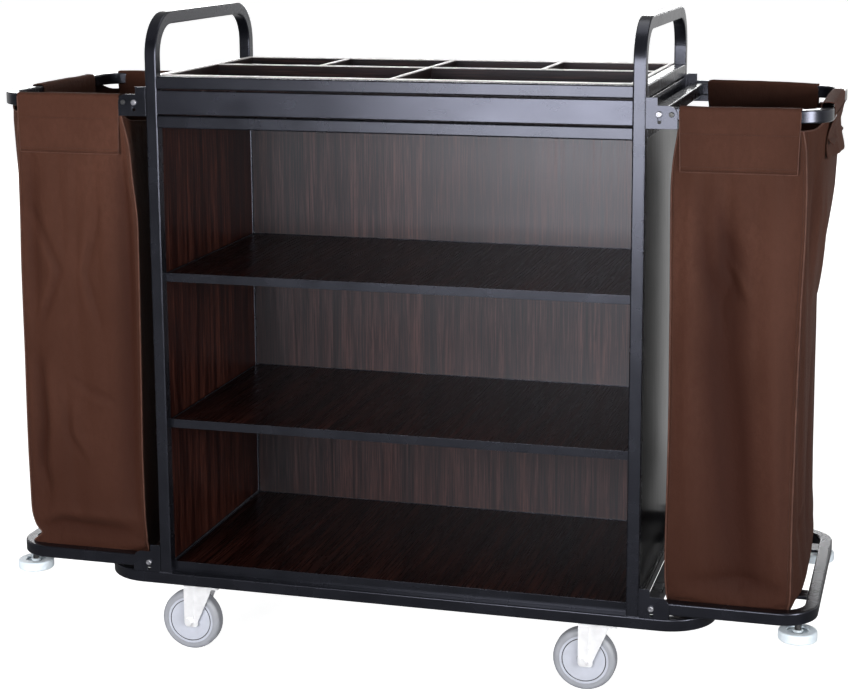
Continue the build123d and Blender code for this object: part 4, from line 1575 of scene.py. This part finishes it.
    def sleeve_section(self, bar: Bar) -> np.ndarray:
        """The way of a sleeve across its bar.

        Args:
            bar: the bar that it goes round.

        Returns:
            Rows of distance outward from the bar's outer face, and height, in millimetres.
        """
        form = self.sleeve
        if bar is Bar.OUTER:
            hem, leaf, inside = self.outer_hem, form.outer_leaf, form.outer_inside
        else:
            hem, leaf, inside = self.sleeve_hem, form.side_leaf, form.side_inside
        leaf = [(off, hem + above) for off, above in leaf]
        return np.array([*leaf, *form.over_bar, *inside])

    def banded(self, name: str, grid: np.ndarray, flip: bool) -> bpy.types.Object:
        """A band of cloth from a grid of points, with thickness and a finer surface.

        Args:
            name: the piece's name.
            grid: points by step along and across, in millimetres, on the band's outer face.
            flip: whether the faces run the other way round.

        Returns:
            The piece.
        """
        long, across = grid.shape[:2]
        mesh = bpy.data.meshes.new(name)
        faces = [(face[0], *face[:0:-1]) for face in quads(long, across)]
        if flip != (self.side is Side.LEFT):
            faces = [face[::-1] for face in faces]
        mesh.from_pydata(self.place(grid.reshape(-1, 3)).tolist(), [], faces)
        round_way, step_way = ways(grid[0]) * MM, ways(grid[:, 0]) * MM
        layer = mesh.uv_layers.new(name="cloth")
        for loop in mesh.loops:
            step, place = divmod(loop.vertex_index, across)
            layer.data[loop.index].uv = (step_way[step], round_way[place])
        for poly in mesh.polygons:
            poly.use_smooth = True
        piece = put(name, mesh, FINISHES.cloth)
        finer = piece.modifiers.new("finer", "SUBSURF")
        finer.levels = finer.render_levels = 1
        wall = piece.modifiers.new("wall", "SOLIDIFY")
        wall.thickness, wall.offset = self.sleeve_wall * MM, -1.0
        return put(name, settled(piece), FINISHES.cloth)

    def seam_path(self, mesh: bpy.types.Mesh, column: int, base_count: int, lift: float) -> np.ndarray:
        """The line of a vertical seam on the hung cloth.

        Args:
            mesh: the hung walls and base.
            column: the seam's column.
            base_count: how many vertices the base has.
            lift: how far it stands off the cloth, in millimetres.

        Returns:
            Points from the foot to the rim, in metres.
        """
        count = sum(self.columns)
        rows = base_count + np.arange(self.rows) * count + column
        points, out = coordinates(mesh)[rows], normals(mesh)[rows]
        return points + out * lift * MM

    def level_path(self, mesh: bpy.types.Mesh, row: int, base_count: int, lift: float) -> np.ndarray:
        """The line round the bag at one row of the hung cloth.

        Args:
            mesh: the hung walls and base.
            row: the row, from the foot; -1 is the rim.
            base_count: how many vertices the base has.
            lift: how far it stands off the cloth, in millimetres.

        Returns:
            Points of a closed line, in metres.
        """
        count = sum(self.columns)
        first = base_count + (row % self.rows) * count
        ring = np.r_[first : first + count, first]
        return coordinates(mesh)[ring] + normals(mesh)[ring] * lift * MM

    def stitches(self, name: str, radius: float) -> PathRun:
        """An empty row of the bag's stitches.

        Args:
            name: the piece's name.
            radius: the thread's radius in metres.

        Returns:
            The run, with no path yet.
        """
        size = {"pitch": 0.0042, "radius": radius, "length": 0.0016, "unevenness": 0.12}
        return PathRun(name, RunKind.STITCH, FINISHES.thread, **size, seed=self.seed)

    def welt(self, name: str, radius: float) -> PathRun:
        """An empty run of the bag's piping.

        Args:
            name: the piece's name.
            radius: the piping's radius in metres.

        Returns:
            The run, with no path yet.
        """
        return PathRun(name, RunKind.WELT, FINISHES.piping, pitch=0.006, radius=radius)

    def trim(self, mesh: bpy.types.Mesh, base_count: int) -> dict[Half, list[bpy.types.Object]]:
        """Piping down the seams, round the foot and where no sleeve hides the rim, and stitches beside it.

        Args:
            mesh: the hung walls and base.
            base_count: how many vertices the base has.

        Returns:
            The pieces of each length of the bag.
        """
        made = {}
        for half in Half:
            name = f"{self.side.word}_bag_{half.value}"
            welt = self.welt(f"{name}_piping", self.piping_radius)
            stitch = self.stitches(f"{name}_stitches", self.thread_radius)
            for panel in Panel:
                column = self.seam_column(panel)
                self.add_part(welt, self.seam_path(mesh, column, base_count, self.piping_lift), half)
                for step in (-1, 1):
                    beside = (column + step) % sum(self.columns)
                    self.add_part(stitch, self.seam_path(mesh, beside, base_count, self.stitch_lift), half)
            if half is Half.LOWER:
                welt.add(self.level_path(mesh, 0, base_count, self.foot_piping_lift))
                stitch.add(self.level_path(mesh, self.foot_stitch_row, base_count, self.stitch_lift))
            else:
                rim = self.level_path(mesh, -1, base_count, self.rim_piping_lift)
                corner = self.columns[Panel.OUTER.value] // self.bare_corner
                turns = [self.seam_column(panel) for panel in Panel] + [len(rim) - 1]
                bare = (
                    (0, 2),
                    (turns[1] - 1, turns[1] + corner),
                    (turns[2] - corner, turns[2] + 1),
                    (turns[3] - 2, turns[4]),
                )
                for first, last in bare:
                    welt.add(rim[first : last + 1])
            made[half] = [welt.build(), stitch.build()]
        return made

    def add_part(self, run: PathRun, path: np.ndarray, half: Half) -> None:
        """Adds the part of a path that belongs to one length of the bag.

        Args:
            run: the run to add to.
            path: points from foot to rim.
            half: the length of the bag.
        """
        above = path[:, 2] > self.level
        edge = int(np.argmax(above))
        low, high = path[edge - 1], path[edge]
        share = (self.level - low[2]) / (high[2] - low[2])
        meet = [low + (high - low) * share]
        part = (meet, path[edge:]) if half is Half.UPPER else (path[:edge], meet)
        run.add(np.vstack(part))

    def sleeve_sewing(self) -> list[bpy.types.Object]:
        """Rows of stitches along the front and rear sleeves, and the folded edge round each.

        Returns:
            The stitches and the edges.
        """
        name = f"{self.side.word}_bag_sleeve"
        run = self.stitches(f"{name}_stitches", self.sleeve_thread_radius)
        edge = self.welt(f"{name}_edges", self.sleeve_edge_radius)
        leaf = self.sleeve.leaf_points
        for bar, sign in ((Bar.FRONT, -1), (Bar.REAR, 1)):
            grid = self.sleeve_grid(bar)
            steps = np.linspace(0, len(grid) - 1, self.sewn_steps)
            for level in self.sewn_levels:
                line = self.at_height(grid, level).T
                row = np.stack([np.interp(steps, np.arange(len(grid)), axis) for axis in line], -1)
                run.add(self.place(row + np.array([0, sign * self.stitch_lift, 0])))
            hem = grid[:, 0]
            edge.add(self.place(np.vstack([grid[0, leaf - 1 : 0 : -1], hem, grid[-1, 1:leaf]])))
        return [run.build(), edge.build()]

    def at_height(self, grid: np.ndarray, level: float) -> np.ndarray:
        """The line on a sleeve's outer leaf at one height.

        Args:
            grid: the sleeve's points by step along and across.
            level: the height in millimetres.

        Returns:
            One point per step along.
        """
        leaf = grid[:, : self.sleeve.leaf_points]
        return np.array([[np.interp(level, row[:, 2], row[:, k]) for k in range(3)] for row in leaf])

    def cut_size(self, half: Half) -> tuple[Span, float]:
        """The cloth of one length of the bag before it was sewn.

        Args:
            half: the length of the bag.

        Returns:
            Its width and length in metres and its area in square metres.
        """
        if half is Half.UPPER:
            width, length = self.upper_flat
            return self.upper_flat, width * length
        width, length = self.lower_flat
        return self.lower_flat, width * (length - self.base_fold) + self.base_area

    def build(self) -> None:
        """Makes the bag, hangs it, and sets it on the cabinet."""
        word = self.side.word
        mesh, base_count = self.sewn_mesh()
        hung = self.hang(mesh, base_count)
        trims = self.trim(hung, base_count)
        halves = self.thick_halves(hung)
        sleeves = []
        for bar in Bar:
            sleeve = self.banded(f"{word}_bag_{bar.value}_sleeve", self.sleeve_grid(bar), bar is Bar.REAR)
            first, last = self.sleeve_reach[bar]
            length = self.sleeve_round - self.outer_hem if bar is Bar.OUTER else self.sleeve_cut
            sleeves.append(sleeve)
        sleeves += self.sleeve_sewing()
        for half in Half:
            pieces = [halves[half], *trims[half], *(sleeves if half is Half.UPPER else [])]
            for piece in pieces:
                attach(piece, "cabinet")
                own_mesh(piece)
                LOG.info("%s: %d faces", piece.name, len(piece.data.polygons))
            (width, length), area = self.cut_size(half)
            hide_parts(f"{word}_bag")


RIGHT_BAG = LaundryBag(
    side=Side.RIGHT,
    inner=Profile((218, 260, 340, 520, 820, 1050, 1100, 1150), (559, 555, 555, 557, 558, 555, 560, 571)),
    seam=Profile(
        (218, 240, 440, 640, 834, 960, 1043, 1127, 1150),
        (795, 799, 800, 803, 805, 809, 810, 806, 797),
    ),
    rear_seam=Profile(
        (218, 286, 520, 665, 745, 850, 969, 1048, 1150),
        (784, 789, 788, 785, 783, 793, 805, 807, 797),
    ),
    outer=Profile(
        (218, 236, 270, 298, 315, 332, 364, 450, 600, 720)
        + (795, 900, 1005, 1079, 1125, 1140, 1152, 1163, 1171),
        (805, 813, 817, 818, 813, 815, 810, 808, 806, 805)
        + (803, 816, 831, 834, 835, 837, 843, 851, 852.5),
        ease=6.0,
    ),
    half_depth=Profile(
        (209, 222, 262, 310, 440, 640, 834, 1068, 1150),
        (241, 242, 248, 252, 255, 260, 266, 272, 273),
        ease=8.0,
    ),
    fullness=Profile((218, 600, 900, 1150), (2.6, 2.6, 3.4, 5.0)),
    folds=(
        Fold(
            Panel.FRONT,
            ((105, 960), (104, 811), (101, 719), (119, 575), (133, 408), (145, 300), (150, 200)),
            46,
            -22.0,
        ),
        Fold(Panel.FRONT, ((195, 1055), (200, 886), (205, 683), (212, 477), (216, 320)), 34, 9.0),
        Fold(Panel.FRONT, ((79, 1050), (105, 953), (122, 883)), 17, -7.0),
        Fold(Panel.FRONT, ((99, 906), (144, 828)), 7, -4.5),
        Fold(Panel.FRONT, ((112, 908), (158, 830)), 8, 5.0),
        Fold(Panel.FRONT, ((122, 880), (94, 811), (100, 770)), 9, -6.0),
        Fold(Panel.FRONT, ((119, 850), (131, 826)), 6, -3.0),
        Fold(Panel.FRONT, ((40, 1000), (42, 560), (38, 400)), 28, 5.0),
        Fold(Panel.FRONT, ((58, 1040), (62, 900), (85, 820)), 18, -9.0),
        Fold(Panel.FRONT, ((7, 630), (66, 676)), 8, -4.0),
        Fold(Panel.FRONT, ((19, 532), (74, 541)), 8, -3.5),
        Fold(Panel.FRONT, ((228, 780), (232, 560), (228, 320)), 13, -5.0),
        Fold(Panel.FRONT, ((40, 262), (150, 268), (228, 256)), 20, -9.0),
        Fold(Panel.OUTER, ((12, 1125), (10, 960)), 9, -5.0),
        Fold(Panel.OUTER, ((70, 1090), (40, 850)), 16, -8.0),
        Fold(Panel.OUTER, ((110, 410), (40, 370)), 12, -6.0),
        Fold(Panel.OUTER, ((120, 1000), (240, 800)), 26, 7.0),
        Fold(Panel.OUTER, ((300, 930), (318, 640), (330, 380)), 36, -13.0),
        Fold(Panel.OUTER, ((180, 700), (170, 300)), 32, -11.0),
        Fold(Panel.OUTER, ((440, 960), (420, 420)), 32, -9.0),
        Fold(Panel.REAR, ((120, 960), (132, 640), (140, 280)), 28, -13.0),
        Fold(Panel.REAR, ((60, 900), (50, 340)), 26, 7.0),
        Fold(Panel.REAR, ((190, 860), (150, 760)), 9, -5.0),
        Fold(Panel.INNER, ((160, 1000), (180, 320)), 36, -11.0),
        Fold(Panel.INNER, ((330, 940), (340, 400)), 32, -9.0),
    ),
    sleeve_reach={Bar.FRONT: (571.0, 795.0), Bar.OUTER: (-193.0, 104.0), Bar.REAR: (571.0, 788.0)},
    flare=((-193, -14.0), (-150, -8.0), (-90, 1.0), (-20, 5.0), (30, 2.5), (104, -3.0)),
    outer_hem=1090.0,
    waist=12.0,
    puff=6.0,
    rear_draw=17.0,
    seed=11,
)

LEFT_BAG = LaundryBag(
    side=Side.LEFT,
    inner=Profile(
        (218, 265, 440, 656, 868, 930, 972, 1025, 1075, 1110, 1150),
        (545, 546, 547, 541, 535, 533, 536, 542, 545, 551, 566),
    ),
    seam=Profile(
        (209, 220, 231, 239, 246, 252, 264, 291, 424, 644, 859, 1049, 1133, 1150),
        (817, 820, 815, 804, 791, 801, 810, 817, 817, 811, 806, 799, 796, 790),
        ease=4.0,
    ),
    rear_seam=Profile((218, 300, 640, 859, 1049, 1150), (794, 800, 800, 801, 802, 792)),
    outer=Profile(
        (218, 246, 300, 440, 640, 834, 960, 1050, 1110, 1150, 1171),
        (820, 806, 818, 819, 816, 820, 832, 842, 848, 851.5, 853),
        ease=8.0,
    ),
    half_depth=Profile(
        (209, 222, 262, 310, 440, 640, 834, 1068, 1150),
        (241, 242, 247, 252, 255, 260, 266, 272, 273),
        ease=8.0,
    ),
    fullness=Profile((218, 600, 900, 1150), (3.0, 3.0, 4.0, 5.5)),
    folds=(
        Fold(Panel.FRONT, ((243, 958), (178, 824), (227, 708)), 7, -7.0),
        Fold(Panel.FRONT, ((258, 950), (195, 824), (240, 715)), 10, 4.5),
        Fold(Panel.FRONT, ((84, 968), (121, 823), (87, 712)), 7, -7.0),
        Fold(Panel.FRONT, ((100, 960), (138, 823), (104, 718)), 12, 5.0),
        Fold(Panel.FRONT, ((236, 1080), (250, 960), (245, 850), (225, 720)), 32, -9.0),
        Fold(Panel.FRONT, ((238, 640), (228, 493), (241, 406), (222, 350)), 14, -13.0),
        Fold(Panel.FRONT, ((208, 640), (204, 493), (212, 390)), 16, 5.0),
        Fold(Panel.FRONT, ((162, 600), (120, 572), (64, 552)), 8, -6.0),
        Fold(Panel.FRONT, ((160, 582), (118, 555), (66, 536)), 9, 4.0),
        Fold(Panel.FRONT, ((172, 545), (170, 473), (128, 416)), 9, -6.0),
        Fold(Panel.FRONT, ((156, 540), (154, 476), (118, 424)), 10, 4.0),
        Fold(Panel.FRONT, ((250, 290), (190, 300), (130, 300), (11, 296)), 16, 7.0),
        Fold(Panel.FRONT, ((268, 244), (225, 258), (190, 268), (120, 262), (20, 256)), 20, -15.0),
        Fold(Panel.FRONT, ((10, 1060), (8, 640), (10, 300)), 40, -18.0),
        Fold(Panel.OUTER, ((150, 980), (180, 320)), 36, -12.0),
        Fold(Panel.OUTER, ((330, 940), (350, 380)), 36, -11.0),
        Fold(Panel.OUTER, ((240, 860), (250, 500)), 28, 6.0),
        Fold(Panel.OUTER, ((60, 900), (90, 760), (60, 640)), 10, -6.0),
        Fold(Panel.REAR, ((110, 940), (130, 300)), 28, -12.0),
        Fold(Panel.REAR, ((200, 760), (190, 350)), 24, -7.0),
        Fold(Panel.INNER, ((150, 1020), (170, 330)), 38, -11.0),
        Fold(Panel.INNER, ((340, 960), (330, 360)), 34, -9.0),
    ),
    sleeve_reach={Bar.FRONT: (568.0, 795.0), Bar.OUTER: (-95.0, 155.0), Bar.REAR: (571.0, 808.0)},
    flare=((-95, 3.0), (-25, 1.0), (95, 1.0), (155, 3.0)),
    outer_hem=1112.0,
    waist=0.0,
    puff=1.0,
    seed=23,
)


# Frame details


@dataclass
class FrameWelds:
    """Coated weld ripples round the feet of the posts and along the wing brackets, in millimetres."""

    post_x: float = 495.5
    post_y: float = 262.5
    tube: float = 25.0
    foot_z: float = 187.5
    bracket_y: float = 271.2
    bracket_levels: tuple[Span, ...] = ((192.0, 242.0), (1158.0, 1208.0))
    side_gap: float = 0.3
    foot_gap: float = 0.6

    def build(self) -> None:
        """Lays the welds and sets them on the cabinet."""
        size = {"pitch": 0.0024, "radius": 0.0019, "length": 0.0017, "unevenness": 0.22}
        run = PathRun("frame_welds", RunKind.WELD, FINISHES.weld, **size, seed=5)
        half = self.tube / 2 + self.side_gap
        foot_z = self.foot_z + self.foot_gap
        for sx in (-1, 1):
            for sy in (-1, 1):
                x, y = sx * self.post_x, sy * self.post_y
                for side in (-1, 1):
                    ends = [(x - half, y + side * half, foot_z), (x + half, y + side * half, foot_z)]
                    run.add(np.array(ends) * MM)
                edge, face = sx * (self.post_x + half), sy * self.bracket_y
                for low, high in self.bracket_levels:
                    run.add(np.array([(edge, face, low), (edge, face, high)]) * MM)
        piece = run.build()
        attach(piece, "cabinet")
        LOG.info("%s: %d faces", piece.name, len(piece.data.polygons))


@dataclass
class PaintedSolids:
    """The trolley's rigid pieces, which keep their solids and take their finishes."""

    finishes: FinishBook = FINISHES

    def dress(self) -> None:
        """Gives each CAD node its finish."""
        for name, piece in sorted(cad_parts.items()):
            for slot in piece.material_slots:
                finish = self.finishes.for_node(name, slot.material.name.split(".")[0])
                slot.material = finish.material
                LOG.info("%s: %s", name, finish.name)


# Studio


@dataclass(frozen=True)
class Softbox:
    """A soft rectangular light, with its place, aim and size in metres and the brightness of its face."""

    name: str
    at: Point
    aim: Point
    size: Span
    radiance: float
    use: LampUse = LampUse.FULL

    def build(self) -> None:
        """Hangs the light."""
        data = bpy.data.lights.new(self.name, "AREA")
        data.shape = "RECTANGLE"
        data.size, data.size_y = self.size
        data.energy = math.pi * self.size[0] * self.size[1] * self.radiance
        light = bpy.data.objects.new(self.name, data)
        turn = (Vector(self.at) - Vector(self.aim)).to_track_quat("Z", "Y")
        light.matrix_world = Matrix.Translation(self.at) @ turn.to_matrix().to_4x4()
        light.visible_camera = False
        light.visible_diffuse = self.use is not LampUse.SHEEN
        light.visible_glossy = self.use is not LampUse.FILL
        bpy.context.scene.collection.objects.link(light)


@dataclass
class Studio:
    """White floor and surround, soft lights at the front, right, top and back, and the camera."""

    focal_px: float = 1897.6
    image: tuple[int, int] = (848, 696)
    centre: Span = (423.93, 257.1)
    yaw: float = 0.276
    pitch: float = 0.180
    roll: float = -0.006
    eye: Point = (1.0733, -3.8018, 1.5567)
    sensor: float = 36.0
    ambient: float = 0.16
    ambient_tint: Colour = (0.96, 0.97, 1.0)
    overhead: float = 0.28
    overhead_fade: Span = (0.14, 0.32)
    floor_reach: float = 30.0
    floor_white: Span = (0.62, 0.66)
    floor_glow: float = 0.91
    floor_mirrored: float = 0.24
    floor_behind: float = 0.64
    behind_from: Span = (0.6, 1.8)
    card_ends: tuple[Span, Span] = ((-5.5, -2.4), (-1.1, -3.6))
    card_heights: Span = (0.02, 4.2)
    card_black: Span = (0.010, 0.014)
    lights: tuple[Softbox, ...] = (
        Softbox("side_softbox", (3.6, -2.6, 1.3), (0.1, 0.0, 0.8), (1.6, 1.5), 14.0),
        Softbox("side_sheen", (3.6, -2.6, 1.3), (0.1, 0.0, 0.8), (1.6, 1.5), 2.5, LampUse.SHEEN),
        Softbox("front_softbox", (-1.0, -4.3, 1.1), (0.0, 0.0, 0.8), (2.2, 1.2), 3.2),
        Softbox("top_softbox", (0.2, 0.3, 3.6), (0.0, 0.0, 0.8), (2.4, 1.8), 1.8),
        Softbox("back_softbox", (-2.2, 8.0, 1.8), (0.0, 0.0, 0.9), (6.8, 1.0), 9.5),
        Softbox("front_fill", (-1.6, -3.8, 1.4), (-0.5, 0.0, 0.75), (1.6, 1.4), 17.0, LampUse.FILL),
        Softbox("front_reflector", (0.48, -3.7, 1.2), (0.3, 0.0, 1.1), (2.8, 1.4), 15.0, LampUse.SHEEN),
        Softbox("edge_strip", (3.4, -2.0, 1.25), (-0.4, -0.2, 0.9), (1.0, 1.6), 26.0, LampUse.SHEEN),
    )

    def camera(self) -> None:
        """Sets the camera at the photograph's place, with its framing."""
        data = bpy.data.cameras.new("camera")
        data.sensor_fit, data.sensor_width = "HORIZONTAL", self.sensor
        data.lens = self.focal_px / self.image[0] * self.sensor
        data.shift_x = (self.image[0] / 2 - self.centre[0]) / self.image[0]
        data.shift_y = (self.centre[1] - self.image[1] / 2) / self.image[0]
        ahead = Vector((-math.sin(self.yaw), math.cos(self.yaw), 0.0))
        right = Vector((math.cos(self.yaw), math.sin(self.yaw), 0.0))
        up = Vector((0.0, 0.0, 1.0))
        forward = ahead * math.cos(self.pitch) - up * math.sin(self.pitch)
        lifted = up * math.cos(self.pitch) + ahead * math.sin(self.pitch)
        level = right * math.cos(self.roll) + lifted * math.sin(self.roll)
        top = lifted * math.cos(self.roll) - right * math.sin(self.roll)
        turn = Matrix((level, top, -forward)).transposed().to_4x4()
        camera = bpy.data.objects.new("camera", data)
        camera.matrix_world = Matrix.Translation(self.eye) @ turn
        bpy.context.scene.collection.objects.link(camera)
        bpy.context.scene.camera = camera

    def surround(self) -> None:
        """Makes the surround: white to the camera, dimmer overhead to glossy surfaces, dim to matt ones."""
        world = bpy.data.worlds.new("surround")
        bpy.context.scene.world = world
        world.use_nodes = True
        make = NodeKit(world.node_tree)
        make.tree.nodes.clear()
        path = make.node("ShaderNodeLightPath").outputs
        seen = path["Is Camera Ray"]
        for other in ("Is Glossy Ray", "Is Transmission Ray"):
            seen = make.sum(seen, path[other], "MAXIMUM")
        way = make.node("ShaderNodeSeparateXYZ")
        make.feed(way.inputs[0], make.node("ShaderNodeTexCoord").outputs["Generated"])
        fade = make.span(way.outputs["Z"], 1.0, self.overhead, *self.overhead_fade)
        white, dim = make.node("ShaderNodeBackground"), make.node("ShaderNodeBackground")
        make.feed(white.inputs["Color"], (1.0, 1.0, 1.0, 1.0))
        make.feed(white.inputs["Strength"], make.sum(path["Is Camera Ray"], fade, "MAXIMUM"))
        make.feed(dim.inputs["Color"], (*self.ambient_tint, 1.0))
        make.feed(dim.inputs["Strength"], self.ambient)
        mix = make.node("ShaderNodeMixShader")
        for place, value in enumerate((seen, dim.outputs[0], white.outputs[0])):
            make.feed(mix.inputs[place], value)
        make.feed(make.node("ShaderNodeOutputWorld").inputs["Surface"], mix.outputs[0])

    def floor(self) -> None:
        """Lays a white floor that keeps a pale shadow."""
        mesh = bpy.data.meshes.new("floor")
        reach = self.floor_reach
        corners = [(-reach, -reach, 0), (reach, -reach, 0), (reach, reach, 0), (-reach, reach, 0)]
        mesh.from_pydata(corners, [], [(0, 1, 2, 3)])
        piece = put("floor", mesh)
        make = Recipe("white_floor")
        make.tree.nodes.remove(make.shader)
        path = make.node("ShaderNodeLightPath").outputs
        low, high = self.floor_white
        white = make.ramp(make.speckle(3.0), ((0.3, (low,) * 3), (0.7, (high,) * 3)))
        mirrored = make.sum(path["Is Glossy Ray"], path["Is Transmission Ray"], "MAXIMUM")
        straight = make.sum(path["Is Camera Ray"], self.floor_glow, "MULTIPLY")
        back = make.span(make.axis("Y"), 0.0, self.floor_behind, *self.behind_from)
        behind = make.sum(mirrored, back, "MULTIPLY")
        matt, glow = make.node("ShaderNodeBsdfDiffuse"), make.node("ShaderNodeEmission")
        make.feed(matt.inputs["Color"], make.blend(mirrored, white, (self.floor_mirrored,) * 3))
        make.feed(glow.inputs["Strength"], make.sum(straight, behind, "MAXIMUM"))
        both = make.node("ShaderNodeAddShader")
        make.feed(both.inputs[0], matt.outputs[0])
        make.feed(both.inputs[1], glow.outputs[0])
        make.feed(make.tree.nodes["Material Output"].inputs["Surface"], both.outputs[0])
        mesh.materials.append(make.material)

    def flag(self) -> None:
        """Stands a black card at the front left, which only glossy surfaces see."""
        mesh = bpy.data.meshes.new("black_card")
        left, right = self.card_ends
        low, high = self.card_heights
        corners = [(*left, low), (*right, low), (*right, high), (*left, high)]
        mesh.from_pydata(corners, [], [(0, 1, 2, 3)])
        piece = put("black_card", mesh)
        make = Recipe("black_card")
        deep, pale = self.card_black
        nap = make.ramp(make.speckle(40.0), ((0.3, (deep,) * 3), (0.7, (pale,) * 3)))
        mesh.materials.append(make.dress(Base_Color=nap, Roughness=0.9))
        for ray in ("camera", "diffuse", "shadow", "transmission"):
            setattr(piece, f"visible_{ray}", False)

    def build(self) -> None:
        """Sets up the studio."""
        bpy.context.scene.view_settings.view_transform = "Standard"
        self.camera()
        self.surround()
        self.floor()
        self.flag()
        for light in self.lights:
            light.build()


def main() -> None:
    """Dresses the trolley and sets up the studio."""
    logging.basicConfig(level=logging.INFO, format="%(name)s: %(message)s")
    Studio().build()
    PaintedSolids().dress()
    FrameWelds().build()
    for bag in (RIGHT_BAG, LEFT_BAG):
        bag.build()


if __name__ == "__main__":
    main()
